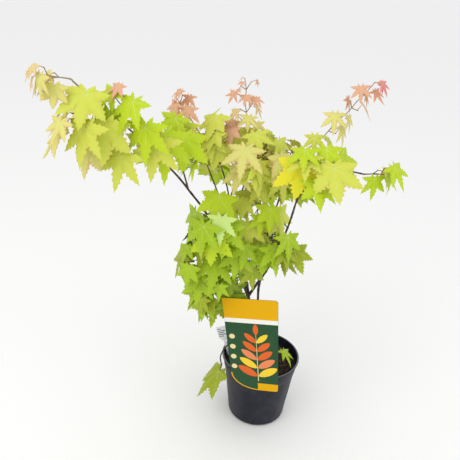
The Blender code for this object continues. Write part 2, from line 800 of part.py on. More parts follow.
class Mass:
    """One sprig of foliage: a stem, its side twigs and their leaves."""

    def __init__(self, name, bough_line, obstacles, card_view):
        values = MASSES[name]
        _, heading, rise, length, self.reach, self.hang = values[:6]
        self.leaf_length, self.droop, self.pairs, seed = values[6:]
        self.name = name
        self.draw = random.Random(seed)
        self.obstacles = obstacles
        self.card_view = card_view
        self.twigs = []
        self.leaves = []
        path, radii = bough_line
        self.radius = radii[-1]
        end = (path[-1] - path[-2]).normalized()
        start = path[-1] + end * GAP
        for _ in range(TRIES):
            self.stem = self.draw_stem(start, end, direction(heading, rise), length)
            if not self.obstacles.touches_path(self.stem[1:], STEM_MARGIN):
                break
            heading += self.draw.uniform(-STEM_SEARCH, STEM_SEARCH)
            rise += self.draw.uniform(-STEM_SEARCH, STEM_SEARCH)

    def draw_stem(self, start, end, way, length):
        """A stem that leaves the bough's tip in line with it and then turns its own way."""
        stem = [start, start + end * STRAIGHT_START]
        steps = max(2, round(length / NODE_SPACING))
        for _ in range(steps):
            wander = Vector([self.draw.uniform(-STEM_WANDER, STEM_WANDER) for _ in range(3)])
            stem.append(stem[-1] + (way + wander).normalized() * length / steps)
        return stem

    def inside(self, point):
        """Whether a point is in this mass's own space, a rounded bar hung from its stem."""
        first, last = self.stem[1], self.stem[-1]
        line = last - first
        share = max(0.0, min(1.0, (point - first).dot(line) / line.length_squared))
        away = point - first - line * share
        away.z = max(away.z, min(0.0, away.z + self.hang))
        return away.length < self.reach

    def grow(self):
        self.add_twig(self.stem, self.radius)
        way = (self.stem[-1] - self.stem[1]).normalized()
        turn = self.draw.uniform(-FIRST_TURN, FIRST_TURN)
        for i in range(self.pairs):
            share = (i + 1) / (self.pairs + 1)
            root = along(self.stem[1:], share)
            length = TWIG_SHARE * self.reach * (TWIG_FIRST - TWIG_LOSS * share)
            size = OLD_LEAF_SIZE - YOUNG_SHARE * share
            for side in (0, 180):
                self.grow_twig(root, way, turn + side, length, size)
            turn += 90
        tip = self.stem[-1] - way * NODE_INSET
        self.grow_pair(tip, way, turn, OLD_LEAF_SIZE - YOUNG_SHARE)
        self.grow_pair(tip, way, turn + 90, OLD_LEAF_SIZE - YOUNG_SHARE)

    def add_twig(self, path, radius):
        self.twigs.append((path, tapering(radius, TWIG_TIP, len(path))))
        self.obstacles.add(*tube_shape(path[1:] if path is self.stem else path, TWIG_BASE))

    def sideways(self, way, turn, angle):
        """A direction that leaves a shoot at an angle, turned round it from level."""
        across = way.cross(Vector((0, 0, 1)))
        across = across.normalized() if across.length > UPRIGHT else Vector((1, 0, 0))
        out = Matrix.Rotation(math.radians(turn), 3, way) @ across
        angle = math.radians(angle)
        return (way * math.cos(angle) + out * math.sin(angle)).normalized()

    def grow_twig(self, root, way, turn, length, size):
        for _ in range(TRIES):
            angle = TWIG_ANGLE + self.draw.uniform(-TWIG_ANGLE_SPREAD, TWIG_ANGLE_SPREAD)
            spread = self.draw.uniform(-TWIG_TURN_SPREAD, TWIG_TURN_SPREAD)
            out = self.sideways(way, turn + spread, angle)
            steps = max(1, round(length / NODE_SPACING))
            path = [root]
            for _ in range(steps):
                out = (out + Vector((0, 0, TWIG_RISE))).normalized()
                path.append(path[-1] + out * length / steps)
            clear = [root.lerp(path[1], TWIG_CLEAR_SHARE), *path[1:]]
            inside = all(
                self.inside(point) and not self.card_view.holds(point) for point in path[1:]
            )
            if inside and not self.obstacles.touches_path(clear, TWIG_MARGIN):
                break
            length *= TWIG_SHRINK
        else:
            return
        self.add_twig(path, TWIG_BASE)
        spin = turn
        for before, after in zip(path, path[1:]):
            out = (after - before).normalized()
            self.grow_pair(after - out * NODE_INSET, out, spin, size)
            spin += 90

    def grow_pair(self, root, way, turn, size):
        for side in (0, 180):
            self.grow_leaf(root, way, turn + side, size)

    def grow_leaf(self, root, way, turn, size):
        length = size * self.leaf_length
        length *= self.draw.uniform(1 - LEAF_SIZE_SPREAD, 1 + LEAF_SIZE_SPREAD)
        for _ in range(TRIES):
            angle = LEAF_ANGLE + self.draw.uniform(-LEAF_ANGLE_SPREAD, LEAF_ANGLE_SPREAD)
            spread = self.draw.uniform(-LEAF_TURN_SPREAD, LEAF_TURN_SPREAD)
            out = self.sideways(way, turn + spread, angle)
            stalk = length * STALK_SHARE * self.draw.uniform(STALK_SHORTEST, STALK_LONGEST)
            out = (out - Vector((0, 0, STALK_SAG))).normalized()
            joint = root + out * stalk
            droop = self.droop + self.draw.uniform(-LEAF_DROOP_SPREAD, LEAF_DROOP_SPREAD)
            place = leaf_place(joint, out, droop, self.draw.uniform(-LEAF_ROLL, LEAF_ROLL))
            place @= Matrix.Translation((0, STALK_INSET * length, 0))
            if self.fits(root, joint, place, length):
                break
            length *= SHRINK
        else:
            return
        self.leaves.append(((root, joint), place, length))
        self.obstacles.add(*leaf_shape(place, length, CLEARANCE / 2))
        kept = [root.lerp(joint, share) for share in STALK_KEPT]
        self.obstacles.add(*tube_shape(kept, STALK_RADIUS))

    def fits(self, root, joint, place, length):
        points, faces = leaf_shape(place, length, CLEARANCE)
        if not self.inside(place @ Vector((0, LEAF_MIDDLE * length, 0))):
            return False
        if any(self.card_view.holds(point) for point in points):
            return False
        stalk = [root.lerp(joint, share) for share in STALK_PROBES]
        if self.obstacles.touches_path(stalk, STALK_MARGIN):
            return False
        return not self.obstacles.touches_mesh(points, faces)

    def build(self, ring):
        """Join the stem, twigs, stalks and blades into one solid."""
        parts = bpy.data.collections.new(self.name)
        bpy.context.scene.collection.children.link(parts)
        stem = tube(self.name, *self.twigs[0], ring)
        pieces = [tube("twig", path, radii, ring) for path, radii in self.twigs[1:]]
        for stalk, place, length in self.leaves:
            radii = [STALK_RADIUS * share for share in STALK_TAPER]
            pieces.append(tube("stalk", stalk, radii, ring))
            points, faces = leaf_shape(place, length)
            mesh = bpy.data.meshes.new("blade")
            mesh.from_pydata([tuple(p) for p in points], [], faces)
            weld(mesh)
            pieces.append(add_object("blade", mesh))
        for piece in pieces:
            bpy.context.scene.collection.objects.unlink(piece)
            parts.objects.link(piece)
        boolean(stem, "UNION", collection=parts)
        for piece in pieces:
            remove(piece)
        bpy.data.collections.remove(parts)
        return stem


def mass_material(name, materials):
    if name in ORANGE_MASSES:
        return materials["leaf_orange"]
    if name in YELLOW_MASSES:
        return materials["leaf_yellow"]
    return materials["leaf_lime"]


def main():
    clear_scene()
    materials = make_materials()
    pot = build_pot()
    soil = build_soil()
    card, tongue = build_label(soil)
    tag = build_tag(soil)
    keep_largest(soil)
    paint(pot, materials["pot_plastic"], smooth=True)
    paint(soil, materials["soil"])
    paint(card, materials["card"])
    paint(tongue, materials["card"])
    paint(tag, materials["tag"])

    lines = limb_lines()
    limbs = build_limbs(lines)
    obstacles = Obstacles()
    for obj in (pot, soil, card, tongue, tag, *limbs.values()):
        obstacles.add_object(obj)
    for limb in limbs.values():
        paint(limb, materials["bark"], smooth=True)

    ring = polygon_curve("twig_ring", 3)
    card_view = CardView()
    for name, values in MASSES.items():
        mass = Mass(name, lines[values[0]], obstacles, card_view)
        mass.grow()
        paint(mass.build(ring), mass_material(name, materials))
    remove(ring)


main()
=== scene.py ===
"""A young Japanese maple in its nursery pot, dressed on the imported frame.

Lengths are metres, +Z is up, and the camera looks along +Y from slightly above. Limbs
and sprays follow the rule that the solids follow, from the same named sizes, and then
grow on to finer shoots and smaller leaves inside the same spaces.
"""

import json
import random
from functools import partial
from math import atan2, cos, exp, hypot, pi, radians, sin

import bmesh
import bpy
import numpy as np
from bpy.props import FloatProperty, FloatVectorProperty, IntProperty, PointerProperty
from mathutils import Matrix, Vector, noise
from mathutils.bvhtree import BVHTree

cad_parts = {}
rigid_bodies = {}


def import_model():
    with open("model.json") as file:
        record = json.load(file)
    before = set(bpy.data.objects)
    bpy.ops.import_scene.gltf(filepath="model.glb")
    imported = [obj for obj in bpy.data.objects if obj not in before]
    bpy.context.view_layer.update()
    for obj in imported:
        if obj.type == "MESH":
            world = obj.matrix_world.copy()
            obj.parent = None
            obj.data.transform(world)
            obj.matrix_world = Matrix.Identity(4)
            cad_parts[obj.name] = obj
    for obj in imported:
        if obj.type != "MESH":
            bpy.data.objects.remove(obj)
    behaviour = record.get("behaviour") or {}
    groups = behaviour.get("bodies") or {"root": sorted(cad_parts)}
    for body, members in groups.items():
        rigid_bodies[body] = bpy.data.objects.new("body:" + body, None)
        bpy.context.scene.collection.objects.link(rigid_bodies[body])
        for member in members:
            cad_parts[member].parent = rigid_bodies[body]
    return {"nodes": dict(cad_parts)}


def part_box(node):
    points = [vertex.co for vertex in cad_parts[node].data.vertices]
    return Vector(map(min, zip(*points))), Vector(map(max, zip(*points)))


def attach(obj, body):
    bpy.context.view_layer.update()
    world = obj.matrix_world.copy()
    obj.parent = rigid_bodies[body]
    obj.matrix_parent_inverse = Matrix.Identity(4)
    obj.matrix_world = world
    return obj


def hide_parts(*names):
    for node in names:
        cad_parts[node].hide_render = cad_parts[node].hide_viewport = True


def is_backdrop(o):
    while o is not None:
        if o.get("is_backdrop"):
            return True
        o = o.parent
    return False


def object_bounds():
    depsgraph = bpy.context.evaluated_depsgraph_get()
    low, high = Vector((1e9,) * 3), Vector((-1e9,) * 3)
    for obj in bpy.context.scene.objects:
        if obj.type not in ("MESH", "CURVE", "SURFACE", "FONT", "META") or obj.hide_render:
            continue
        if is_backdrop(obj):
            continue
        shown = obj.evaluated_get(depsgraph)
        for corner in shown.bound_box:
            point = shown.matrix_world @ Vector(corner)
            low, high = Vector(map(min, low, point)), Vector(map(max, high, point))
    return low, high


bl_info = {
    "name": "Potted Maple",
    "version": (1, 0, 0),
    "blender": (4, 5, 0),
    "location": "View3D > Sidebar > Maple",
    "description": "Pot, compost, label, stems and leaves of a young Japanese maple",
    "category": "Object",
}

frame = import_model()
CAD_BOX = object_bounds()
POT_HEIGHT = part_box("pot")[1].z
RIM_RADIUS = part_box("pot")[1].x
SOIL_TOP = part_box("soil")[1].z
GAP = 0.0003  # air that the solids leave where they meet
UP = Vector((0, 0, 1))

# Trunk and boughs

# An arc from the soil to the highest fork
TRUNK = {"heading": 180, "rise": 77, "length": 0.400, "sweep": 0, "lift": -1}
TRUNK_BASE = 0.0062
TRUNK_TIP = 0.0019
LIMB_TIP = 0.0013
TAPER_POWER = 1.2  # above 1, a limb thins more quickly at its start
FLARE_RADIUS = 0.0115
FLARE_HEIGHT = 0.014
FLARE_LEAN = 0.12
# Share of the flare's height, and share of its spread that is left there
FLARE_SHAPE = ((0, 1), (0.15, 0.80), (0.3, 0.60), (0.5, 0.36), (0.7, 0.18), (0.85, 0.07))

# One arc each: what it grows from, where along that, how many degrees its start is
# turned from +X and raised, its length, how much further it turns and rises by its
# tip, and its radius at the start.
BOUGHS = {
    "left": ("trunk", 0.38, -152, 71, 0.560, 25, -33, 0.0031),
    "right": ("trunk", 0.42, -20, 62, 0.380, -66, 15, 0.0030),
    "mid": ("trunk", 0.18, 140, 91, 0.340, -140, -19, 0.0032),
    "upper_a": ("trunk", 0.93, -164, 79, 0.150, 38, -16, 0.0016),
    "upper_b": ("trunk", 0.98, -27, 72, 0.140, -19, 8, 0.0016),
    "left_far": ("left", 0.93, -137, 43, 0.100, 0, 0, 0.0014),
    "left_arm": ("left", 0.74, -107, 47, 0.100, 0, 0, 0.0015),
    "left_top": ("left", 0.86, -95, 62, 0.052, 0, 0, 0.0014),
    "left_knee": ("left", 0.58, -107, 64, 0.094, 0, 0, 0.0016),
    "tuft": ("upper_a", 0.60, -139, 55, 0.130, 0, 0, 0.0013),
    "crown": ("upper_b", 0.35, -60, 37, 0.069, 0, 0, 0.0013),
    "right_low": ("right", 0.62, -78, 69, 0.150, 25, -36, 0.0017),
    "far_right": ("right", 0.80, -87, 65, 0.150, 104, -80, 0.0015),
    "column": ("mid", 0.62, -115, 74, 0.100, 0, 0, 0.0016),
    "shoulder": ("left", 0.32, -104, 49, 0.079, 0, 0, 0.0019),
    "waist": ("left", 0.20, -161, 13, 0.086, 29, 35, 0.0018),
    "skirt": ("left", 0.09, -136, 12, 0.098, -3, 30, 0.0018),
    "front": ("trunk", 0.50, -94, 57, 0.110, 0, 0, 0.0018),
    "right_waist": ("right", 0.36, -77, 66, 0.049, 0, 0, 0.0017),
    "low_shoot": ("trunk", 0.05, -132, 97, 0.170, -39, -206, 0.0018),
    "sprout": ("trunk", 0.035, -22, 30, 0.052, -4, 5, 0.0015),
    "back_left": ("trunk", 0.72, 130, 45, 0.180, 0, 0, 0.0020),
    "back_right": ("mid", 0.72, 78, 30, 0.120, 0, 0, 0.0016),
    "back_top": ("trunk", 0.88, 78, 38, 0.130, 0, 0, 0.0017),
    "back_low_left": ("trunk", 0.46, 131, 30, 0.130, 0, 0, 0.0022),
    "back_low_right": ("mid", 0.34, 83, 34, 0.105, 0, 0, 0.0019),
}

# Foliage at a bough's tip: the bough, the stem's turn, rise and length, how far the
# middles of leaves may be from that stem, how much further they may hang below it, the
# length of a leaf, how steeply leaves hang, the pairs of side twigs, and a seed. Its
# solid has the same name after leaves_.
MASSES = {
    "far_left": ("left_far", -165, 2, 0.046, 0.027, 0.012, 0.042, 66, 2, 5),
    "left_fan": ("left", -140, -12, 0.046, 0.044, 0.040, 0.068, 62, 3, 5),
    "left_mid": ("left_arm", -76, -20, 0.034, 0.046, 0.036, 0.078, 62, 3, 11),
    "left_top": ("left_top", -110, 10, 0.030, 0.040, 0.006, 0.046, 58, 3, 9),
    "knee": ("left_knee", -141, 40, 0.028, 0.048, 0.000, 0.058, 55, 3, 6),
    "tuft": ("tuft", -155, 58, 0.042, 0.030, 0.004, 0.036, 60, 2, 30),
    "crown_left": ("upper_a", -70, 62, 0.038, 0.046, 0.024, 0.054, 55, 3, 22),
    "top": ("upper_b", -125, 84, 0.106, 0.036, 0.000, 0.034, 50, 4, 39),
    "crown": ("crown", -52, 54, 0.050, 0.056, 0.006, 0.060, 55, 3, 34),
    "crown_right": ("mid", -91, 71, 0.080, 0.043, 0.008, 0.056, 55, 3, 35),
    "right_arm": ("right", -30, 50, 0.166, 0.024, 0.010, 0.038, 52, 5, 3),
    "right_low": ("right_low", -100, 40, 0.036, 0.050, 0.006, 0.062, 50, 3, 36),
    "far_right": ("far_right", -11, 4, 0.040, 0.026, 0.010, 0.046, 60, 2, 23),
    "column": ("column", -100, 20, 0.032, 0.050, 0.036, 0.056, 60, 4, 31),
    "shoulder": ("shoulder", -85, 45, 0.032, 0.048, 0.022, 0.064, 52, 3, 38),
    "waist": ("waist", -80, -20, 0.036, 0.047, 0.030, 0.058, 55, 3, 28),
    "skirt": ("skirt", -50, -40, 0.035, 0.047, 0.034, 0.058, 58, 3, 27),
    "front": ("front", -70, 20, 0.026, 0.044, 0.030, 0.056, 62, 4, 4),
    "right_waist": ("right_waist", -72, -30, 0.028, 0.044, 0.004, 0.056, 50, 3, 18),
    "low_shoot": ("low_shoot", -120, -75, 0.010, 0.040, 0.006, 0.115, 56, 1, 1),
    "sprout": ("sprout", -20, 10, 0.010, 0.024, 0.000, 0.064, 40, 0, 11),
    "back_left": ("back_left", 114, 10, 0.050, 0.056, 0.012, 0.064, 55, 2, 33),
    "back_right": ("back_right", 77, 24, 0.041, 0.056, 0.012, 0.064, 55, 3, 5),
    "back_top": ("back_top", 87, 25, 0.050, 0.056, 0.012, 0.060, 55, 3, 20),
    "back_low_left": ("back_low_left", 112, -8, 0.050, 0.056, 0.012, 0.062, 55, 2, 4),
    "back_low_right": ("back_low_right", 77, -9, 0.050, 0.056, 0.012, 0.062, 55, 2, 12),
}

# How a mass is dressed: how many of the finer shoots it grows, how large its youngest
# leaves are in the room that the solids keep for them, and its tints, from the old
# leaves at its stem's start to the youngest at its tip. Each spray takes one tint.
# The olive and deep lime tints dealt to the lower masses and inside the crown are painted shade
MASS_LOOKS = {
    "far_left": (0.0, 0.8, "soft_yellow soft_yellow straw straw"),
    "left_fan": (0.1, 1.0, "yellow_green yellow_green soft_yellow soft_yellow"),
    "left_mid": (0.0, 1.0, "bright_lime yellow_green bright_lime bright_lime"),
    "left_top": (0.2, 0.9, "bright_lime yellow_green soft_yellow"),
    "knee": (0.15, 1.0, "bright_lime yellow_green lime"),
    "tuft": (0.0, 1.0, "straw salmon salmon salmon"),
    "crown_left": (0.5, 0.95, "yellow_green yellow_green soft_yellow"),
    "top": (0.0, 0.28, "soft_yellow straw salmon salmon coral"),
    "crown": (0.7, 0.85, "yellow_green soft_yellow yellow_green straw"),
    "crown_right": (0.6, 0.85, "olive yellow_green soft_yellow yellow_green"),
    "right_arm": (0.0, 0.85, "yellow_green yellow_green soft_yellow soft_yellow straw salmon coral"),
    "right_low": (0.45, 1.0, "bright_lime bright_lime yellow_green bright_lime mint"),
    "far_right": (0.3, 1.1, "bright_lime bright_lime yellow_green"),
    "column": (0.0, 0.8, "olive yellow_green bright_lime"),
    "shoulder": (0.4, 1.0, "lime bright_lime mint"),
    "waist": (0.6, 1.0, "olive lime lime"),
    "skirt": (0.9, 1.0, "olive deep_lime olive lime"),
    "front": (0.6, 0.95, "lime olive bright_lime"),
    "right_waist": (0.0, 1.0, "lime olive lime"),
    "low_shoot": (0.0, 1.0, "olive olive"),
    "sprout": (0.0, 1.0, "lime lime"),
    "back_left": (1.0, 1.0, "lime bright_lime yellow_green"),
    "back_right": (1.0, 1.0, "lime bright_lime yellow_green"),
    "back_top": (1.0, 1.0, "bright_lime yellow_green straw"),
    "back_low_left": (1.0, 1.0, "deep_lime lime bright_lime"),
    "back_low_right": (1.0, 1.0, "deep_lime lime bright_lime"),
}

# Single sprays, by mass and number, that have a tint of their own
ODD_SPRAYS = {
    ("right_low", 1): "sun_yellow",
    ("left_top", 9): "salmon",
    ("crown_left", 5): "salmon",
}

# A leaf tint's group, by which its veins are shared out, and how much of the rosy edge colour its
# margins take
TINTS = {
    "deep_lime": ("leaf_lime", 0.0),
    "lime": ("leaf_lime", 0.0),
    "bright_lime": ("leaf_lime", 0.05),
    "olive": ("leaf_lime", 0.05),
    "sun_yellow": ("leaf_yellow", 0.0),
    "mint": ("leaf_lime", 0.0),
    "yellow_green": ("leaf_yellow", 0.12),
    "soft_yellow": ("leaf_yellow", 0.40),
    "straw": ("leaf_orange", 0.60),
    "salmon": ("leaf_orange", 0.45),
    "coral": ("leaf_orange", 0.30),
}

# How twigs and leaves grow
ARC_STEPS = 8
STRAIGHT_STEPS = 2
STRAIGHT_START = 0.005  # a stem leaves its bough's tip this far in line with it
STEM_WANDER = 0.12
STEM_SEARCH = 14  # degrees by which a blocked stem is turned at each new try
FIRST_TURN = 20  # degrees by which the first pair of twigs may be off level
UPRIGHT = 0.05  # a shoot that leans less than this has +X as its level side
TWIG_BASE = 0.0012
TWIG_TIP = 0.0009
NODE_INSET = 0.0015  # how far before a twig's end its last leaves sit
TWIG_ANGLE = 58  # degrees between a stem and its side twigs
TWIG_ANGLE_SPREAD = 12
TWIG_TURN_SPREAD = 15
TWIG_SHARE = 0.60  # a side twig's length as a share of the mass's reach
TWIG_FIRST = 1.15  # the lowest side twigs are longer than that, and
TWIG_LOSS = 0.45  # the highest are shorter by this much
TWIG_RISE = 0.10  # how much a twig curves upwards at each node
TWIG_SHRINK = 0.94
TWIG_CLEAR_SHARE = 0.35  # a twig keeps clear of others from this far out
NODE_SPACING = 0.022
LEAF_ANGLE = 52  # degrees between a twig and its leaf stalks
LEAF_ANGLE_SPREAD = 25
LEAF_TURN_SPREAD = 40
LEAF_SIZE_SPREAD = 0.12
OLD_LEAF_SIZE = 1.1  # size of the leaves at a stem's start
STALK_SHARE = 0.34  # a leaf stalk's length as a share of its leaf's
STALK_SHORTEST = 0.6
STALK_LONGEST = 1.5
STALK_SAG = 0.2
STALK_RADIUS = 0.0005
STALK_INSET = 0.03
STALK_PROBES = (0.3, 0.6, 0.9)  # where along a stalk its own clearance is tested
STALK_KEPT = (0.15, 0.85)  # the stretch of it that later twigs and leaves keep clear of
LEAF_THICKNESS = 0.0013
LEAF_DROOP_SPREAD = 20
LEAF_ROLL = 18
YOUNG_SHARE = 0.40  # how much smaller leaves get towards a stem's end
CROWN_AXIS = (-0.06, 0.02)  # blades turn outwards from here, towards the light
TOWARDS_LIGHT = 1.3
TRIES = 16
SHRINK = 0.985  # a leaf's size at each new try, as a share of the last
CLEARANCE = 0.0007
STEM_MARGIN = 0.0022
TWIG_MARGIN = 0.0022
STALK_MARGIN = 0.0013
LEAF_MIDDLE = 0.45  # where a leaf counts as being, as a share of its length

# The room that a leaf takes: a star's points and hollows, as turn from the middle lobe
# in degrees, reach as a share of the leaf's length, and drop as a share of it
LEAF_ROOM = (
    (0, 1.00, 0.16),
    (23, 0.58, 0.02),
    (46, 0.86, 0.16),
    (71, 0.50, 0.02),
    (99, 0.60, 0.12),
    (180, 0.14, -0.01),
    (261, 0.60, 0.12),
    (289, 0.50, 0.02),
    (314, 0.86, 0.16),
    (337, 0.58, 0.02),
)

# What leaves keep out of before the card, as seen on its own plane: its height and half
# its width, and above it the fork: its height, its middle and half its width
VIEW_CARD = (0.236, 0.060)
VIEW_FORK = (0.285, 0.004, 0.026)

# The finer shoots that grow between the first ones
FINE_SEED = 500
FINE_MARGIN = 0.0008
FINE_CLEARANCE = 0.0001
FINE_SHOOT_SHARE = 0.30  # a short shoot's length as a share of the mass's reach

# Limbs, twigs and stalks in detail
BARK_SEED = 7
FURROW_STRETCH = (1, 1, 0.3)  # bark is grained along Z
COLLAR_RINGS = 6  # facets of the swelling where a bough leaves its stem
COLLAR_SWELLING = 0.35
STEM_SUNK = 4 * GAP  # how far a stem reaches back to its bough
TWIG_THINNING = 0.78  # a twig's radius as a share of its solid's
TWIG_SPACING = 0.0035
TWIG_NODE = 0.002  # how far from a twig's node it is swollen
TWIG_NODE_SWELLING = 1.25
TWIG_RELIEF = 0.1
TWIG_GRAIN = 0.004
STALK_ARCH = 0.06  # how far a stalk's middle rises, as a share of its length
STALK_RADII = (0.00085, 0.00055, 0.0005, 0.00045)
STALK_SPACING = 0.005

# A blade's lobes on one side of the middle: turn, reach, drop, and teeth on each edge
LOBES = ((0, 1.00, 0.17, 4), (46, 0.88, 0.17, 4), (99, 0.62, 0.13, 3), (146, 0.33, 0.06, 2))
NOTCH_TURNS = (23, 71, 124, 180)
# How far out the hollows between the lobes are, and how far a lobe swells past them
LEAF_FORMS = {
    "broad": ((0.47, 0.38, 0.23, 0.08), 0.16),
    "cut": ((0.33, 0.28, 0.17, 0.07), 0.23),
    "fingered": ((0.26, 0.22, 0.14, 0.06), 0.275),
}
CUT_SHARE = 0.72  # how many full-grown leaves are cut deeper than broad ones
# Masses whose leaves all have one form
MASS_FORMS = {
    "tuft": "fingered",
    "top": "fingered",
    "right_arm": "fingered",
    "sprout": "fingered",
    "low_shoot": "broad",
}
# Limbs and masses of this year, whose skin is still pale
YOUNG_BOUGHS = ("left_far", "tuft")
YOUNG_MASSES = ("far_left", "tuft", "top", "right_arm")
TOOTH_PEAK = 0.34  # how far teeth stand out, as a share of the lobe's half width
TOOTH_VALLEY = 0.12
TOOTH_LEAN = 0.72  # where on its stretch a tooth has its point
LOBE_TIP = 0.75  # length of a lobe's bare tip, in stretches of a tooth
LOBE_FULLNESS = 0.55  # how much slower than evenly a lobe narrows at first
SIDE_VEIN_LEAN = 0.96  # how far up the midrib a side vein starts, against its tooth
RIB_START = 0.70  # where side veins start, as a share of the way to the hollow
INNER_SHARE = 0.70  # the line inside the margin
BLADE_PUFF = 0.17  # how far the blade swells between its veins
MARGIN_PUFF = 0.07
DROP_POWER = 1.7
RIPPLE_HEIGHT = 0.015
RIPPLE_OUT = 9  # radians of ripple from a blade's start to its tip
RIPPLES_ROUND = 3
STRETCH_FROM = 0.5  # from this far out a lobe has its stretch in full
VEIN_PLACES = (0, 0.2, 0.4, 0.6, 0.8, 0.95)  # shares of a lobe's reach
VEIN_HEIGHT = 0.6  # how far its line is above the blade's middle, in half thicknesses
VEIN_TAPER = 0.8
SHORT_VEIN = 0.55  # radius of a vein of no length, as a share of the middle one's
FULL_LEAF = 0.05  # below this length a leaf's veins are thinner
BOX_SHRINK = 0.95  # the same for a blade that would leave the solids' box
TINT_WANDER = 0.7  # how far a spray's tint strays from its age's, in tints
STRAY_SHARE = 0.2  # how many leaves take a tint next to their spray's

# Degrees up to which a crease is shaded smooth
POT_CREASE = 38
SOIL_CREASE = 80
CHIP_CREASE = 30
SHEET_CREASE = 40
SHOOT_CREASE = 60
BLADE_CREASE = 70

# Pot and soil
WALL_RINGS = (0.97, 0.85, 0.7, 0.55, 0.4, 0.25, 0.14)  # shares of the height below the collar
PANEL_FADE = 6  # a panel fades out over 1 / this of its height at each end
DRILL_SIDES = 20
SOIL_RINGS = 44
SOIL_SIDES = 120
LUMPS = (0.9, 2.2, 4)  # how each layer of noise fades, its step in size, the layers
LUMP_TOP = 0.5  # lumps are cut off at this share of the relief
LUMP_SUNK = 0.2  # and all of them are sunk by this share
SOIL_CALM = 0.004  # how far from the wall the lumps have faded in
BED_RINGS = 6
BED_SIDES = 24
BED_MARGIN = 0.75  # how far chips lie from the wall, in lengths of a chip
CHIP_SHAPE = (0.28, 3)  # flatness, and seed
CRUMB_SHAPE = (0.7, 8)
CHIP_WIDTH = 0.55  # this, the next and the tears' depth are shares of a chip's length
CHIP_SMALLEST = 0.35
CHIP_TILT = 0.5
TEAR_SIZE = 0.0025
TEAR_DEPTH = 0.8

# Label and tag
INKS = ("amber", "cream", "white", "orange", "coral", "yellow")
SHEET_ROUNDING = 0.3  # rounding of a card's or tag's edges, as a share of its thickness
# The printed sprig's lowest leaflets, and what higher ones near: height up the stem and
# length as shares of the sprig's height, and degrees that they lean from the stem
LEAFLETS = ((0.06, 0.86), (0.34, 0.21), (58, 42))
LEAFLET_REACH = 0.54  # this and the next are shares of a leaflet's length
LEAFLET_WIDTH = 0.40
LEAFLET_PINCH = 0.35
TIP_LEAFLET = (0.95, 0.20, 0.08)  # height, length and width
HOOK_ROUNDING = 0.0002
HOOK_BEND = 0.003
TAG_BARS = (0.55, 0.9, 0.7, 0.9, 0.4)  # lengths, as shares of the column
TAG_COLUMN = 0.80  # width of that column, as a share of the head's
TAG_BARS_FOOT = 0.006
TAG_BAR_STEP = 0.0048
TAG_BAR_HEIGHT = 0.002
TAG_INK = 0.00006

# Camera, fitted to the rim, the base and the card
CAMERA_PLACE = (0, -1.0293, 0.9472)
CAMERA_YAW = -4.8
CAMERA_PITCH = 25.4  # degrees that it looks down
CAMERA_ROLL = 3.5
CAMERA_FOCAL_PIXELS = 560
IMAGE_PIXELS = 460
SENSOR_MM = 36

# Soft lamps: place, what they point at, width, power and colour
LAMPS = {
    "key": ((-1.1, -1.6, 2.2), (0, 0, 0.45), 1.6, 15, (1, 0.98, 0.94)),
    "fill": ((1.6, -1.0, 1.4), (0, 0, 0.4), 1.8, 4, (0.95, 0.98, 1)),
}
SKY_STRENGTH = 0.88
FLOOR_WIDTH = 60


def linear(hex_colour):
    """The linear colour, with alpha, of an sRGB hex string."""
    channels = [int(hex_colour[i : i + 2], 16) / 255 for i in (0, 2, 4)]
    return [c / 12.92 if c < 0.04045 else ((c + 0.055) / 1.055) ** 2.4 for c in channels] + [1]


def mixed(colour, other, share):
    return [a + (b - a) * share for a, b in zip(colour, other)]


# Sizes and colours that a user would change


def size_of(label, default, about):
    return FloatProperty(name=label, description=about, default=default, unit="LENGTH", precision=5)


def count_of(label, default, about):
    return IntProperty(name=label, description=about, default=default, min=1)


def share_of(label, default, about):
    return FloatProperty(name=label, description=about, default=default, subtype="FACTOR")


def angle_of(label, default, about):
    turn = radians(default)
    return FloatProperty(name=label, description=about, default=turn, subtype="ANGLE")


def colour_of(label, hex_colour, about):
    values = {"name": label, "description": about, "default": linear(hex_colour)}
    return FloatVectorProperty(size=4, min=0, max=1, subtype="COLOR", **values)


class PotSizes(bpy.types.PropertyGroup):
    height: size_of("Height", POT_HEIGHT, "Height of the pot")
    rim_radius: size_of("Rim Radius", RIM_RADIUS, "Outer radius of the lip")
    base_radius: size_of("Base Radius", 0.0635, "Radius where the wall's taper meets the ground")
    wall: size_of("Wall", 0.0016, "Thickness of the wall")
    lip_height: size_of("Lip Height", 0.004, "Height of the band round the rim")
    lip_width: size_of("Lip Width", 0.0022, "How far the lip stands out")
    lip_rounding: size_of("Lip Rounding", 0.0013, "Rounding of the lip's edges")
    collar_height: size_of("Collar Height", 0.030, "How far the stacking collar reaches down")
    collar_step: size_of("Collar Step", 0.0012, "How far the collar stands out")
    base_rounding: size_of("Base Rounding", 0.010, "Radius of the rounded foot")
    steps: count_of("Steps", 120, "Facets round the pot")
    panels: count_of("Panels", 12, "Flat panels moulded round the wall")
    panel_depth: size_of("Panel Depth", 0.0005, "How far a panel's middle lies in")
    drain_holes: count_of("Drain Holes", 6, "Holes in the floor")
    drain_radius: size_of("Drain Hole Radius", 0.005, "Radius of a drain hole")
    drain_ring: size_of("Drain Ring Radius", 0.040, "Radius of the ring of holes")
    plastic: colour_of("Plastic", "0C0F1E", "Charcoal recycled polypropylene")
    dusty_height: size_of("Dusty Height", 0.045, "How far up its foot is dusty")
    dust: colour_of("Dust", "4A4A56", "Dried splashes near the foot")
    # Painted highlight: a pale colour on the top of the lip that stands in for the light it catches
    lip_highlight: colour_of("Scuffed Plastic", "8E8E9A", "The lip's worn edge")


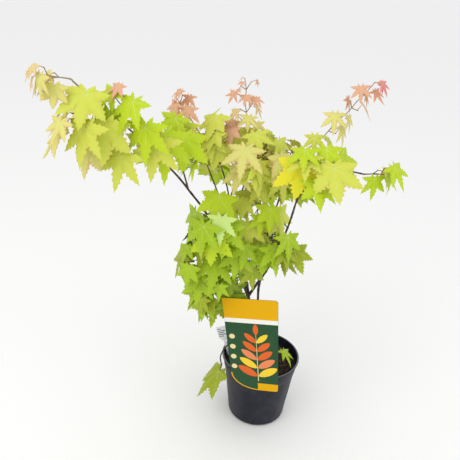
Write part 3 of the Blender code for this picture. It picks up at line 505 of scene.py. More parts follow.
class SoilSizes(bpy.types.PropertyGroup):
    crowning: size_of("Crowning", 0.0035, "How much higher it stands round the stem")
    relief: size_of("Relief", 0.0028, "Height of its lumps")
    lump: size_of("Lump Size", 0.011, "Width of its lumps")
    chip_length: size_of("Chip Length", 0.011, "Length of the larger bark chips")
    grit_size: size_of("Crumb Size", 0.0035, "Width of the crumbs")
    chip_density: count_of("Chip Density", 26000, "Chips on a square metre")
    grit_density: count_of("Crumb Density", 70000, "Crumbs on a square metre")
    peat: colour_of("Peat", "1C1512", "Damp peat")
    crumb: colour_of("Crumb", "2E211A", "Dry peat crumbs")
    chip: colour_of("Chip", "543627", "Composted bark chips")


class LabelSizes(bpy.types.PropertyGroup):
    height: size_of("Card Height", 0.233, "Height of the printed card")
    top_width: size_of("Card Top Width", 0.113, "Width at the top")
    foot_width: size_of("Card Foot Width", 0.098, "Width at the foot")
    thickness: size_of("Card Thickness", 0.0008, "Thickness of the card")
    corner: size_of("Card Corner", 0.006, "Radius of its small corners")
    sweep_width: size_of("Sweep Width", 0.058, "Width of its large rounded corner")
    sweep_height: size_of("Sweep Height", 0.044, "Height of its large rounded corner")
    side: size_of("Card Side", -0.0034, "How far right of the pot's middle it hangs")
    standoff: size_of("Standoff", 0.0004, "How far its foot is from the rim")
    hang: size_of("Hang", 0.0306, "How far its foot is below the rim")
    lean: angle_of("Lean", 3, "How far its top leans to the front")
    turn: angle_of("Turn", 6, "How far it faces left of the front")
    tilt: angle_of("Tilt", 6.7, "How far its top leans left")
    ink: size_of("Ink Layer", 0.00008, "How far each printed field stands proud")
    tongue_width: size_of("Tongue Width", 0.018, "Width of the hook")
    tongue_thickness: size_of("Tongue Thickness", 0.0009, "Thickness of the hook")
    tongue_depth: size_of("Tongue Depth", 0.0235, "How far the hook reaches into the soil")
    tongue_rise: size_of("Tongue Rise", 0.012, "How far the hook stands over the rim")
    tongue_inset: size_of("Tongue Inset", 0.0015, "Room between hook and inner wall")
    green: colour_of("Green", "2C5234", "Dark green ground")
    amber: colour_of("Amber", "E4AC00", "Amber header and footer")
    cream: colour_of("Cream", "E9D9A0", "Cream discs and stem")
    white: colour_of("White", "F1F0EA", "White strip under the header")
    orange: colour_of("Orange", "E2662B", "Leaflets")
    coral: colour_of("Coral", "E98A5C", "Leaflets")
    yellow: colour_of("Yellow", "F3CF3B", "Leaflets")


class TagSizes(bpy.types.PropertyGroup):
    head_width: size_of("Head Width", 0.024, "Width of the head")
    head_height: size_of("Head Height", 0.033, "Height of the head")
    stem_width: size_of("Stem Width", 0.006, "Width of the stem")
    stem_length: size_of("Stem Length", 0.074, "Length of the stem")
    thickness: size_of("Thickness", 0.0008, "Thickness of the tag")
    corner: size_of("Corner", 0.003, "Radius of the head's corners")
    side: size_of("Side", -0.063, "Where its foot is, across")
    depth: size_of("Depth", 0.004, "Where its foot is, front to back")
    sunk: size_of("Sunk", 0.0285, "How far its foot is below the soil's top")
    lean: angle_of("Lean", 17, "How far it leans out over the rim")
    plastic: colour_of("Plastic", "F1F3F6", "White styrene")
    print: colour_of("Print", "4A4C58", "Printed bars")


class BarkSizes(bpy.types.PropertyGroup):
    ring_spacing: size_of("Ring Spacing", 0.0032, "Length of one facet along a limb")
    node_spacing: size_of("Node Spacing", 0.042, "Distance between old leaf nodes")
    node_width: size_of("Node Width", 0.0035, "Length of a node's swelling")
    node_swelling: share_of("Node Swelling", 0.20, "How much thicker a node is")
    zigzag: share_of("Zigzag", 0.35, "How far a limb swings out at a node, in radii")
    relief: share_of("Relief", 0.22, "Height of the bark's furrows, in radii")
    grain: size_of("Grain", 0.005, "Width of the bark's furrows")
    sides: count_of("Sides", 14, "Facets round a limb")
    twig_sides: count_of("Twig Sides", 7, "Facets round a twig")
    stalk_sides: count_of("Stalk Sides", 5, "Facets round a leaf stalk")
    vein_sides: count_of("Vein Sides", 3, "Facets round a vein")
    bark: colour_of("Bark", "33261F", "Dark brown bark")
    pale_bark: colour_of("Pale Bark", "6B5242", "Lenticels and worn bark")
    shoot: colour_of("Shoot", "5A3A2A", "Last year's twigs")
    young_shoot: colour_of("Young Shoot", "A08A5E", "This year's twigs")
    stalk: colour_of("Stalk", "C99A5C", "Leaf stalks")


class FoliageSizes(bpy.types.PropertyGroup):
    thickness: size_of("Thickness", 0.00035, "Thickness of a blade")
    fine_size: share_of("Finer Leaf Size", 0.72, "Size of the leaves that fill in")
    lobe_spread: share_of("Lobe Spread", 0.09, "How much lobes differ in length")
    droop_spread: share_of("Droop Spread", 0.55, "How much lobes differ in drop")
    curl: share_of("Curl", 0.08, "How far a blade bends sideways")
    twist: angle_of("Twist", 16, "How far a blade turns on the way to its tip")
    vein_radius: size_of("Vein Radius", 0.00042, "Radius of a main vein at its start")
    deep_lime: colour_of("Deep Lime", "8AA216", "Shaded lower leaves")
    lime: colour_of("Lime", "A4C216", "Lower leaves")
    bright_lime: colour_of("Bright Lime", "BCD412", "Leaves in full light")
    # Painted shade: a darker tint for leaves inside the crown and on the lower masses, where shade falls
    olive: colour_of("Olive", "9CAC18", "Older leaves inside the crown")
    mint: colour_of("Mint", "CCE682", "Leaves seen from their pale side")
    sun_yellow: colour_of("Sun Yellow", "E8E022", "A leaf with the sun behind it")
    yellow_green: colour_of("Yellow Green", "D0D84E", "Upper leaves")
    soft_yellow: colour_of("Soft Yellow", "DEDA7A", "Upper leaves near the tips")
    straw: colour_of("Straw", "E2CF8C", "Young leaves")
    salmon: colour_of("Salmon", "E2AF8C", "Youngest leaves")
    coral: colour_of("Coral", "E08C86", "Unfolding leaves")
    rosy_edge: colour_of("Rosy Edge", "D8937A", "What colours the margins")
    pale_vein: colour_of("Pale Vein", "DCE8A0", "Veins of green leaves")
    warm_vein: colour_of("Warm Vein", "EBC6A4", "Veins of young leaves")


# Node trees and materials


def add_node(tree, kind, inputs=None, **settings):
    """Add a node with its settings, set or link its inputs, and return its outputs."""
    node = tree.nodes.new(kind)
    for name, value in settings.items():
        setattr(node, name, value)
    for socket, value in (inputs or {}).items():
        if isinstance(value, bpy.types.NodeSocket):
            tree.links.new(value, node.inputs[socket])
        else:
            node.inputs[socket].default_value = value
    return node.outputs


def new_material(name, colour, roughness, gloss=0.5):
    """A Principled material with plain values: (material, tree, the shader's inputs)."""
    material = bpy.data.materials.new(name)
    material.use_nodes = True
    shader = material.node_tree.nodes["Principled BSDF"].inputs
    shader["Base Color"].default_value = colour
    shader["Roughness"].default_value = roughness
    shader["Specular IOR Level"].default_value = gloss
    return material, material.node_tree, shader


def patches(tree, place, size, low, high):
    """A share that comes and goes in patches of about that size."""
    pattern = add_node(tree, "ShaderNodeTexNoise", {"Vector": place, "Scale": 1 / size, "Detail": 3})
    limits = {"Value": pattern["Fac"], "From Min": low, "From Max": high}
    return add_node(tree, "ShaderNodeMapRange", limits)["Result"]


def mottle(tree, place, size, colour, other, low, high):
    """A colour that changes to the other in patches of about that size."""
    colours = {"Factor": patches(tree, place, size, low, high), 6: colour, 7: other}
    return add_node(tree, "ShaderNodeMix", colours, data_type="RGBA")[2]


def grain(tree, shader, place, size, height, strength=1.0):
    """Bump in patches of that size."""
    pattern = add_node(tree, "ShaderNodeTexNoise", {"Vector": place, "Scale": 1 / size, "Detail": 4})
    relief = {"Height": pattern["Fac"], "Distance": height, "Strength": strength}
    tree.links.new(add_node(tree, "ShaderNodeBump", relief)["Normal"], shader["Normal"])


def moulded_polypropylene(sizes):
    """Recycled polypropylene, injection moulded: dark, satin, dusty foot, and a painted highlight along
    the top of the lip.
    """
    material, tree, shader = new_material("moulded_polypropylene", sizes.plastic, 0.46, gloss=0.28)
    node = partial(add_node, tree)
    place = node("ShaderNodeTexCoord")["Object"]
    height = node("ShaderNodeSeparateXYZ", {"Vector": place})["Z"]
    foot = {"Value": height, "From Min": sizes.dusty_height, "From Max": 0.0, "To Max": 0.55}
    low = node("ShaderNodeMapRange", foot)["Result"]
    splashes = patches(tree, place, 0.006, low=0.56, high=0.74)
    dusty = node("ShaderNodeMath", {0: splashes, 1: low}, operation="MULTIPLY")["Value"]
    # Painted highlight: the top of the lip is mixed towards a pale colour
    edge = sizes.height - sizes.lip_rounding / 2
    lip = {"Value": height, "From Min": edge, "From Max": sizes.height, "To Max": 0.7}
    lip_highlight = node("ShaderNodeMapRange", lip)["Result"]
    faded = mixed(sizes.plastic, sizes.dust, 0.22)
    colour = mottle(tree, place, 0.030, sizes.plastic, faded, low=0.4, high=0.75)
    # Dust near the foot, then the painted highlight on the lip
    for share, worn in ((dusty, sizes.dust), (lip_highlight, sizes.lip_highlight)):
        colours = {"Factor": share, 6: colour, 7: worn}
        colour = node("ShaderNodeMix", colours, data_type="RGBA")[2]
    tree.links.new(colour, shader["Base Color"])
    # The moulded texture is near 0.3 mm, and is drawn at 2.5 mm so that it shows.
    grain(tree, shader, place, 0.0025, height=0.0004, strength=0.35)
    return material


def damp_peat(sizes):
    """Peat compost, damp: nearly black, matt, with paler dry crumbs."""
    material, tree, shader = new_material("damp_peat", sizes.peat, 0.95)
    place = add_node(tree, "ShaderNodeTexCoord")["Object"]
    colour = mottle(tree, place, 0.004, sizes.peat, sizes.crumb, low=0.45, high=0.65)
    tree.links.new(colour, shader["Base Color"])
    grain(tree, shader, place, 0.0022, height=0.0015)
    return material


def bark_chip(name, colour):
    """Composted bark, torn and dry: matt brown."""
    return new_material(name, colour, 0.9)[0]


def soiled_sheet(name, colour, roughness, gloss, dirt, size, low):
    """Plain sheet plastic with faintly dirty patches."""
    material, tree, shader = new_material(name, colour, roughness, gloss)
    place = add_node(tree, "ShaderNodeTexCoord")["Object"]
    tree.links.new(mottle(tree, place, size, colour, dirt, low, high=0.8), shader["Base Color"])
    return material


def printed_vinyl(name, colour):
    """Offset print on rigid vinyl card, matt laminated: even colour, hardly any gloss."""
    dull = mixed(colour, linear("7C7C7C"), 0.04)
    return soiled_sheet(name, colour, 0.45, 0.1, dull, size=0.018, low=0.45)


def styrene(name, colour):
    """Stamped sheet styrene: white, semi-matt, faintly soiled."""
    dull = mixed(colour, linear("A09589"), 0.15)
    return soiled_sheet(name, colour, 0.5, 0.5, dull, size=0.009, low=0.5)


def young_bark(sizes):
    """Thin maple bark: dark brown, slightly waxy, with pale lenticels and streaks."""
    material, tree, shader = new_material("young_bark", sizes.bark, 0.62)
    place = add_node(tree, "ShaderNodeTexCoord")["Object"]
    stretch = {"Vector": place, "Scale": (1, 1, 0.35)}
    streaks = add_node(tree, "ShaderNodeMapping", stretch)["Vector"]
    worn = mottle(tree, streaks, 0.005, sizes.bark, sizes.pale_bark, low=0.46, high=0.72)
    tree.links.new(worn, shader["Base Color"])
    grain(tree, shader, streaks, 0.0018, height=0.0006)
    return material


def green_wood(name, colour):
    """This year's twigs and leaf stalks: smooth, waxy and even in colour."""
    return new_material(name, colour, 0.5)[0]


def leaf_skin(name, colour):
    """A maple leaf's skin: thin, even and softly shining."""
    return new_material(name, colour, 0.48, gloss=0.35)[0]


# Making meshes


def add_object(name, data):
    obj = bpy.data.objects.new(name, data)
    bpy.context.scene.collection.objects.link(obj)
    return obj


def mesh_object(name, points, edges, faces):
    mesh = bpy.data.meshes.new(name)
    mesh.from_pydata(points, edges, faces)
    return add_object(name, mesh)


def evaluated_mesh(obj):
    graph = bpy.context.evaluated_depsgraph_get()
    return bpy.data.meshes.new_from_object(obj.evaluated_get(graph))


def apply_modifiers(obj):
    mesh = evaluated_mesh(obj)
    obj.modifiers.clear()
    old = obj.data
    obj.data = mesh
    bpy.data.meshes.remove(old)


def weld(mesh):
    work = bmesh.new()
    work.from_mesh(mesh)
    bmesh.ops.remove_doubles(work, verts=work.verts, dist=1e-6)
    bmesh.ops.recalc_face_normals(work, faces=work.faces)
    work.to_mesh(mesh)
    work.free()


def turned(name, profile, steps):
    """A solid turned round Z from (radius, height) points."""
    points = [(radius, 0, height) for radius, height in profile]
    obj = mesh_object(name, points, [(i, i + 1) for i in range(len(points) - 1)], [])
    screw = obj.modifiers.new("turn", "SCREW")
    screw.steps = screw.render_steps = steps
    screw.use_merge_vertices = True
    screw.merge_threshold = 1e-5
    apply_modifiers(obj)
    weld(obj.data)
    return obj


def plate(name, outlines, thickness, rounding=0.0):
    """Flat plates in the XY plane, half their thickness each way, as one mesh."""
    curve = bpy.data.curves.new(name, "CURVE")
    curve.dimensions = "2D"
    curve.fill_mode = "BOTH"
    curve.extrude = thickness / 2
    for outline in outlines:
        spline = curve.splines.new("POLY")
        spline.points.add(len(outline) - 1)
        for point, (x, y) in zip(spline.points, outline):
            point.co = (x, y, 0, 1)
        spline.use_cyclic_u = True
    mesh = evaluated_mesh(add_object(name + "_flat", curve))
    bpy.data.curves.remove(curve)  # and with it the object that shows it
    weld(mesh)
    obj = add_object(name, mesh)
    if rounding:
        bevel = obj.modifiers.new("edges", "BEVEL")
        bevel.width = rounding
        bevel.segments = 2
        apply_modifiers(obj)
    return obj


def shade(obj, sharp=SHEET_CREASE):
    """Smooth shading that stays crisp where faces meet at more than that angle."""
    obj.data.shade_smooth()
    obj.data.set_sharp_from_angle(angle=radians(sharp))


def hand_over(obj, nodes=(), materials=()):
    """Paint a finished piece, attach it to the root body, and hide the solids it stands for."""
    for material in materials:
        obj.data.materials.append(material)
    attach(obj, "root")
    if nodes:
        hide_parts(*nodes)


def arc_points(centre, radii, start, end, count):
    """Points on part of an ellipse, from start to end in degrees."""
    turns = [radians(start + (end - start) * i / count) for i in range(count + 1)]
    return [
        (centre[0] + radii[0] * cos(turn), centre[1] + radii[1] * sin(turn))
        for turn in turns
    ]


# Geometry Nodes


def new_geometry_tree(name, inputs):
    """A tree with a mesh in and out and other named inputs: (tree, what it is given)."""
    tree = bpy.data.node_groups.new(name, "GeometryNodeTree")
    for label, kind in {"Geometry": "Geometry", **inputs}.items():
        tree.interface.new_socket(label, in_out="INPUT", socket_type="NodeSocket" + kind)
    tree.interface.new_socket("Geometry", in_out="OUTPUT", socket_type="NodeSocketGeometry")
    return tree, add_node(tree, "NodeGroupInput")


def finish_tree(tree, given, mesh, way, distance):
    """Move a mesh's points a distance, give it its material and send it out of the tree."""
    node = partial(add_node, tree)
    offset = node("ShaderNodeVectorMath", {0: way, "Scale": distance}, operation="SCALE")["Vector"]
    moved = node("GeometryNodeSetPosition", {"Geometry": mesh, "Offset": offset})["Geometry"]
    painted = {"Geometry": moved, "Material": given["Finish"]}
    node("NodeGroupOutput", {"Geometry": node("GeometryNodeSetMaterial", painted)["Geometry"]})


def run_tree(obj, tree, **values):
    """Turn an object into the plain mesh that a tree makes of it."""
    modifier = obj.modifiers.new(tree.name, "NODES")
    modifier.node_group = tree
    for item in tree.interface.items_tree:
        if item.in_out == "INPUT" and item.name in values:
            modifier[item.identifier] = values[item.name]
    apply_modifiers(obj)


def shoot_tree():
    """Round shoots along lines, as thick as the attribute says, with bark relief."""
    inputs = {"Sides": "Int", "Relief": "Float", "Grain": "Float", "Finish": "Material"}
    tree, given = new_geometry_tree("shoots_from_lines", inputs)
    node = partial(add_node, tree)
    thickness = node("GeometryNodeInputNamedAttribute", {"Name": "thickness"})["Attribute"]
    line = node("GeometryNodeMeshToCurve", {"Mesh": given["Geometry"]})["Curve"]
    circle = {"Resolution": given["Sides"], "Radius": 1.0}
    ring = node("GeometryNodeCurvePrimitiveCircle", circle)["Curve"]
    tube = {"Curve": line, "Profile Curve": ring, "Scale": thickness, "Fill Caps": True}
    skin = node("GeometryNodeCurveToMesh", tube)["Mesh"]
    place = node("GeometryNodeInputPosition")["Position"]
    furrows = node("ShaderNodeVectorMath", {0: place, 1: FURROW_STRETCH}, operation="MULTIPLY")
    pattern = {"Vector": furrows["Vector"], "Scale": given["Grain"], "Detail": 2.0}
    height = node("ShaderNodeTexNoise", pattern)["Fac"]
    for operation, value in (("SUBTRACT", 0.5), ("MULTIPLY", given["Relief"]), ("MULTIPLY", thickness)):
        height = node("ShaderNodeMath", {0: height, 1: value}, operation=operation)["Value"]
    finish_tree(tree, given, skin, node("GeometryNodeInputNormal")["Normal"], height)
    return tree


def scatter_tree():
    """Torn chips strewn over a surface."""
    inputs = {"Density": "Float", "Length": "Float", "Flatness": "Float", "Seed": "Int"}
    tree, given = new_geometry_tree("chips_on_surface", {**inputs, "Finish": "Material"})
    node = partial(add_node, tree)
    seed = given["Seed"]
    bed = {"Mesh": given["Geometry"], "Density": given["Density"], "Seed": seed}
    points = node("GeometryNodeDistributePointsOnFaces", bed)["Points"]
    ball = node("GeometryNodeMeshIcoSphere", {"Radius": 0.5, "Subdivisions": 1})["Mesh"]
    shape = node("ShaderNodeCombineXYZ", {"X": 1.0, "Y": CHIP_WIDTH, "Z": given["Flatness"]})
    chip = node("GeometryNodeTransform", {"Geometry": ball, "Scale": shape["Vector"]})["Geometry"]
    limits = {0: (-CHIP_TILT, -CHIP_TILT, 0), 1: (CHIP_TILT, CHIP_TILT, 2 * pi), "Seed": seed}
    turn = node("FunctionNodeRandomValue", limits, data_type="FLOAT_VECTOR")[0]
    turn = node("FunctionNodeEulerToRotation", {"Euler": turn})["Rotation"]
    limits = {2: CHIP_SMALLEST, 3: 1.0, "Seed": seed}
    share = node("FunctionNodeRandomValue", limits, data_type="FLOAT")[1]
    length = node("ShaderNodeMath", {0: share, 1: given["Length"]}, operation="MULTIPLY")["Value"]
    chips = {"Points": points, "Instance": chip, "Rotation": turn, "Scale": length}
    chips = node("GeometryNodeInstanceOnPoints", chips)["Instances"]
    chips = node("GeometryNodeRealizeInstances", {"Geometry": chips})["Geometry"]
    place = node("GeometryNodeInputPosition")["Position"]
    tears = node("ShaderNodeTexNoise", {"Vector": place, "Scale": 1 / TEAR_SIZE, "Detail": 1.0})
    centred = {0: tears["Color"], 1: (0.5, 0.5, 0.5)}
    way = node("ShaderNodeVectorMath", centred, operation="SUBTRACT")["Vector"]
    depth = node("ShaderNodeMath", {0: given["Length"], 1: TEAR_DEPTH}, operation="MULTIPLY")
    finish_tree(tree, given, chips, way, depth["Value"])
    return tree


def skin_lines(name, lines, tree, material, sides, relief=0.0, grain_size=TWIG_GRAIN):
    """One mesh of shoots along (points, radii) lines."""
    points = []
    edges = []
    radii = []
    for path, thick in lines:
        start = len(points)
        points += [tuple(point) for point in path]
        radii += thick
        edges += [(i, i + 1) for i in range(start, start + len(path) - 1)]
    obj = mesh_object(name, points, edges, [])
    attribute = obj.data.attributes.new("thickness", "FLOAT", "POINT")
    attribute.data.foreach_set("value", radii)
    run_tree(obj, tree, Sides=sides, Relief=relief, Grain=1 / grain_size, Finish=material)
    obj.data.attributes.remove(obj.data.attributes["thickness"])
    shade(obj, SHOOT_CREASE)
    return obj


# Pot and soil


def wall_radius(sizes, height):
    """The radius of the pot's outside at a height below its collar."""
    top = sizes.rim_radius - sizes.lip_width - sizes.collar_step
    return sizes.base_radius + (top - sizes.base_radius) * height / sizes.height


def inner_radius(sizes, height):
    collar_foot = sizes.height - sizes.collar_height
    if height <= collar_foot:
        return wall_radius(sizes, height) - sizes.wall
    foot = wall_radius(sizes, collar_foot) - sizes.wall
    top = sizes.rim_radius - sizes.lip_width - sizes.wall
    return foot + (top - foot) * (height - collar_foot) / sizes.collar_height


def pot_profile(sizes):
    top = sizes.height
    collar_foot = top - sizes.collar_height
    collar = sizes.rim_radius - sizes.lip_width
    soft = sizes.lip_rounding
    rim = sizes.rim_radius
    foot = sizes.base_rounding
    step = sizes.collar_step
    neck = wall_radius(sizes, collar_foot)
    rings = [collar_foot * share for share in WALL_RINGS]
    return [
        (0, sizes.wall),
        (wall_radius(sizes, 0) - foot, sizes.wall),
        (wall_radius(sizes, foot) - sizes.wall, foot),
        (neck - sizes.wall, collar_foot),
        *arc_points((collar - sizes.wall + soft, top - soft), (soft, soft), 180, 90, 3),
        *arc_points((rim - soft, top - soft), (soft, soft), 90, 0, 4),
        *arc_points((rim - soft, top - sizes.lip_height + soft), (soft, soft), 0, -90, 3),
        (collar + soft / 4, top - sizes.lip_height - soft / 3),
        (collar, top - sizes.lip_height - soft),
        (neck + step, collar_foot + 2 * step),
        (neck + step * 0.7, collar_foot + step),
        (neck, collar_foot),
        *[(wall_radius(sizes, height), height) for height in rings],
        *arc_points((wall_radius(sizes, foot) - foot, foot), (foot, foot), 0, -90, 8),
        (0, 0),
    ]


def press_panels(obj, sizes):
    """Press shallow upright panels into the wall between the foot and the collar."""
    low = sizes.base_rounding
    high = sizes.height - sizes.collar_height
    for vert in obj.data.vertices:
        place = vert.co
        radius = hypot(place.x, place.y)
        if not low < place.z < high or radius < wall_radius(sizes, place.z) - sizes.wall / 2:
            continue
        share = (place.z - low) / (high - low)
        fade = min(1.0, PANEL_FADE * share, PANEL_FADE * (1 - share))
        turn = atan2(place.y, place.x) * sizes.panels
        depth = sizes.panel_depth * fade * (0.5 + 0.5 * cos(turn)) ** 0.5
        place.x *= 1 - depth / radius
        place.y *= 1 - depth / radius


def build_pot(sizes):
    pot = turned("pot_shell", pot_profile(sizes), sizes.steps)
    press_panels(pot, sizes)
    drills = bpy.data.collections.new("drain_drills")
    for i in range(sizes.drain_holes):
        turn = 2 * pi * (i + 0.5) / sizes.drain_holes
        spot = (sizes.drain_ring * cos(turn), sizes.drain_ring * sin(turn), 0)
        size = {"radius": sizes.drain_radius, "depth": 6 * sizes.wall}
        bpy.ops.mesh.primitive_cylinder_add(vertices=DRILL_SIDES, location=spot, **size)
        drill = bpy.context.object
        bpy.context.scene.collection.objects.unlink(drill)
        drills.objects.link(drill)
    cut = pot.modifiers.new("drain_holes", "BOOLEAN")
    cut.operation = "DIFFERENCE"
    cut.operand_type = "COLLECTION"
    cut.collection = drills
    apply_modifiers(pot)
    for drill in list(drills.objects):
        bpy.data.meshes.remove(drill.data)
    bpy.data.collections.remove(drills)
    shade(pot, POT_CREASE)
    pot.modifiers.new("even_normals", "WEIGHTED_NORMAL").keep_sharp = True
    apply_modifiers(pot)
    return pot


def soil_rings(sizes, edge, count):
    """The (radius, height) points of the soil's top, which is highest at its middle."""
    shares = [i / count for i in range(count + 1)]
    return [(edge * share, SOIL_TOP - sizes.crowning * share**1.5) for share in shares]


def build_soil(sizes, pot):
    """The compost: its lumpy top, and a plain body down the inside of the pot."""
    edge = inner_radius(pot, SOIL_TOP - sizes.crowning) - GAP
    top = soil_rings(sizes, edge, SOIL_RINGS)
    collar_foot = pot.height - pot.collar_height
    floor = pot.wall + GAP
    side = [
        (inner_radius(pot, collar_foot) - GAP, collar_foot),
        (inner_radius(pot, pot.base_rounding) - GAP, pot.base_rounding),
        (wall_radius(pot, 0) - pot.base_rounding, floor),
        (0, floor),
    ]
    soil = turned("soil_body", top + side, SOIL_SIDES)
    for vert in soil.data.vertices:
        radius = hypot(vert.co.x, vert.co.y)
        if vert.co.z < SOIL_TOP - sizes.crowning - GAP or radius > edge - GAP:
            continue
        lumps = min(LUMP_TOP, noise.fractal(vert.co / sizes.lump, *LUMPS))
        calm = min(1.0, (edge - radius) / SOIL_CALM)
        vert.co.z += sizes.relief * (lumps * calm - LUMP_SUNK)
    shade(soil, SOIL_CREASE)
    return soil


def strew(name, sizes, pot, tree, density, length, flatness, seed, material):
    """Chips on the part of the soil that is clear of the wall."""
    edge = inner_radius(pot, SOIL_TOP) - length * BED_MARGIN
    bed = turned(name, soil_rings(sizes, edge, BED_RINGS), BED_SIDES)
    bed.data.flip_normals()
    values = {"Density": float(density), "Length": length, "Flatness": flatness}
    run_tree(bed, tree, Seed=seed, Finish=material, **values)
    shade(bed, CHIP_CREASE)
    return bed


# Label and tag


def card_matrix(label):
    """From the card's own X (right), Y (up) and Z (front) to its place."""
    foot = (label.side, -RIM_RADIUS - label.standoff, POT_HEIGHT - label.hang)
    face = Matrix.Rotation(-label.turn, 4, "Z") @ Matrix.Rotation(radians(90) + label.lean, 4, "X")
    return Matrix.Translation(foot) @ face @ Matrix.Rotation(label.tilt, 4, "Z")


def card_side(label, height):
    """Half the card's width at a height."""
    taper = (label.top_width - label.foot_width) / label.height
    return (label.foot_width + taper * height) / 2


def sweep_arc(label, inset, start, end, count=16):
    """Part of the big rounded corner, drawn in by the inset."""
    centre = (label.sweep_width - card_side(label, label.sweep_height), label.sweep_height)
    radii = (label.sweep_width - inset, label.sweep_height - inset)
    return arc_points(centre, radii, start, end, count)


def upper_corner(label, inset):
    corner = label.corner
    centre = (label.top_width / 2 - corner, label.height - corner)
    return arc_points(centre, (corner - inset, corner - inset), 0, 90, 6)


def lower_corner(label, inset):
    corner = label.corner
    centre = (label.foot_width / 2 - corner, corner)
    return arc_points(centre, (corner - inset, corner - inset), -90, 0, 6)


def card_outline(label):
    right = lower_corner(label, 0) + upper_corner(label, 0)
    return right + [(-label.top_width / 2, label.height)] + sweep_arc(label, 0, 180, 270)


def oval(centre, length, width, turn, count=14):
    """A pointed oval leaflet, or a disc where its sizes are equal."""
    points = []
    for i in range(count):
        way = 2 * pi * i / count
        along = 0.5 * length * cos(way)
        pinch = 1 if length == width else 1 - LEAFLET_PINCH * abs(cos(way)) ** 3
        across = 0.5 * width * sin(way) * pinch
        x = centre[0] + along * cos(turn) - across * sin(turn)
        y = centre[1] + along * sin(turn) + across * cos(turn)
        points.append((x, y))
    return points


def sprig_leaflets(foot, height, pairs):
    """Pairs of plain ovals up a straight stem, smaller towards the top: lists by colour."""
    leaflets = {"orange": [], "coral": [], "yellow": []}
    order = ("orange", "yellow", "coral", "orange")
    for i in range(pairs):
        share = i / pairs
        up, length, lean = (a + (b - a) * share for a, b in LEAFLETS)
        length *= height
        for side in (-1, 1):
            turn = radians(90 - side * lean)
            reach = length * LEAFLET_REACH
            x, y = foot[0] + cos(turn) * reach, foot[1] + height * up + sin(turn) * reach
            colour = order[(i + (side > 0)) % len(order)]
            leaflets[colour].append(oval((x, y), length, length * LEAFLET_WIDTH, turn))
    tip, length, width = (height * share for share in TIP_LEAFLET)
    leaflets["orange"].append(oval((foot[0], foot[1] + tip), length, width, radians(90)))
    return leaflets


def printed_fields(label):
    """The print of a plain generic design: (name, colour, layer, outlines)."""
    edge = 0.0003
    border_width = 0.0024
    header = label.height * 0.795
    strip = label.height * 0.750
    panel_foot = label.sweep_height * 0.62
    footer_left = 0.006
    footer_top = label.height * 0.085
    column = 0.011 - card_side(label, label.height / 2)
    border = (
        sweep_arc(label, edge, 180, 270)
        + [(footer_left, edge), (footer_left, edge + border_width)]
        + sweep_arc(label, edge + border_width, 270, 180)
    )
    middle = 0.008
    foot = footer_top + 0.010
    tall = strip - foot - 0.008
    leaflets = sprig_leaflets((middle, foot), tall, pairs=5)
    left = (edge - label.top_width / 2, label.height - edge)
    side = card_side(label, header) - edge
    header_shape = [(side, header), *upper_corner(label, edge), left, (-side, header)]
    footer_end = (card_side(label, footer_top) - edge, footer_top)
    footer_shape = [(footer_left, edge), *lower_corner(label, edge), footer_end]
    footer_shape.append((footer_left, footer_top))
    strip_side = [(card_side(label, height) - edge, height) for height in (strip, header)]
    strip_shape = strip_side + [(-x, y) for x, y in reversed(strip_side)]
    low, wide = foot - 0.004, 0.0009
    high, narrow = foot + 0.90 * tall, 0.0004
    stem = [(middle - wide, low), (middle + wide, low), (middle + narrow, high), (middle - narrow, high)]
    disc = 0.012
    disc_step = 0.026
    lowest_disc = panel_foot + 0.034
    discs = [oval((column, lowest_disc + disc_step * i), disc, disc, 0, 24) for i in range(4)]
    fields = [
        ("amber_fields", "amber", 1, [header_shape, footer_shape]),
        ("white_strip", "white", 1, [strip_shape]),
        ("sweep_border", "amber", 1, [border]),
        ("sprig_stem", "cream", 1, [stem]),
        ("cream_discs", "cream", 1, discs),
    ]
    for colour, outlines in leaflets.items():
        fields.append((f"sprig_{colour}", colour, 2, outlines))
    return fields


def tongue_outline(label, pot):
    """The hook from its side: up behind the card, over the rim and down inside."""
    thick = label.tongue_thickness
    depth = SOIL_TOP - label.tongue_depth
    top = POT_HEIGHT + label.tongue_rise
    front = -RIM_RADIUS - GAP - thick
    inside = label.tongue_inset - inner_radius(pot, SOIL_TOP)
    low = label.tongue_inset - inner_radius(pot, depth)
    bend = HOOK_BEND
    tight = bend - thick
    outer = (front + bend, top - bend)
    inner = (inside + thick - bend, top - bend)
    return [
        (front, POT_HEIGHT + 0.001),
        *arc_points(outer, (bend, bend), 180, 90, 5),
        *arc_points(inner, (bend, bend), 90, 0, 5),
        (inside + thick, SOIL_TOP),
        (low + thick, depth),
        (low, depth),
        (inside, SOIL_TOP),
        *arc_points(inner, (tight, tight), 0, 90, 5),
        *arc_points(outer, (tight, tight), 90, 180, 5),
        (front + thick, POT_HEIGHT + 0.001),
    ]


def tag_outline(tag):
    head = tag.head_width / 2
    stem = tag.stem_width / 2
    shoulder = tag.stem_length
    top = shoulder + tag.head_height
    corner = tag.corner
    tip_width = stem * 0.4
    tip_height = 0.008
    neck_height = 0.006
    right = [
        (tip_width, 0),
        (stem, tip_height),
        (stem, shoulder - neck_height),
        (head - corner, shoulder),
        *arc_points((head - corner, shoulder + corner), (corner, corner), -60, 0, 3),
        *arc_points((head - corner, top - corner), (corner, corner), 0, 90, 5),
    ]
    return right + [(-x, y) for x, y in reversed(right)]


def tag_matrix(tag):
    foot = (tag.side, tag.depth, SOIL_TOP - tag.sunk)
    lean = Matrix.Rotation(-tag.lean, 4, "Y")
    return Matrix.Translation(foot) @ lean @ Matrix.Rotation(radians(90), 4, "X")


# Growing the tree


def direction(heading, rise):
    heading, rise = radians(heading), radians(rise)
    level = cos(rise)
    return Vector((level * cos(heading), level * sin(heading), sin(rise)))


def arc_path(start, heading, rise, length, sweep, lift):
    steps = ARC_STEPS if sweep or lift else STRAIGHT_STEPS
    path = [Vector(start)]
    for i in range(steps):
        share = (i + 0.5) / steps
        way = direction(heading + sweep * share, rise + lift * share)
        path.append(path[-1] + way * length / steps)
    return path


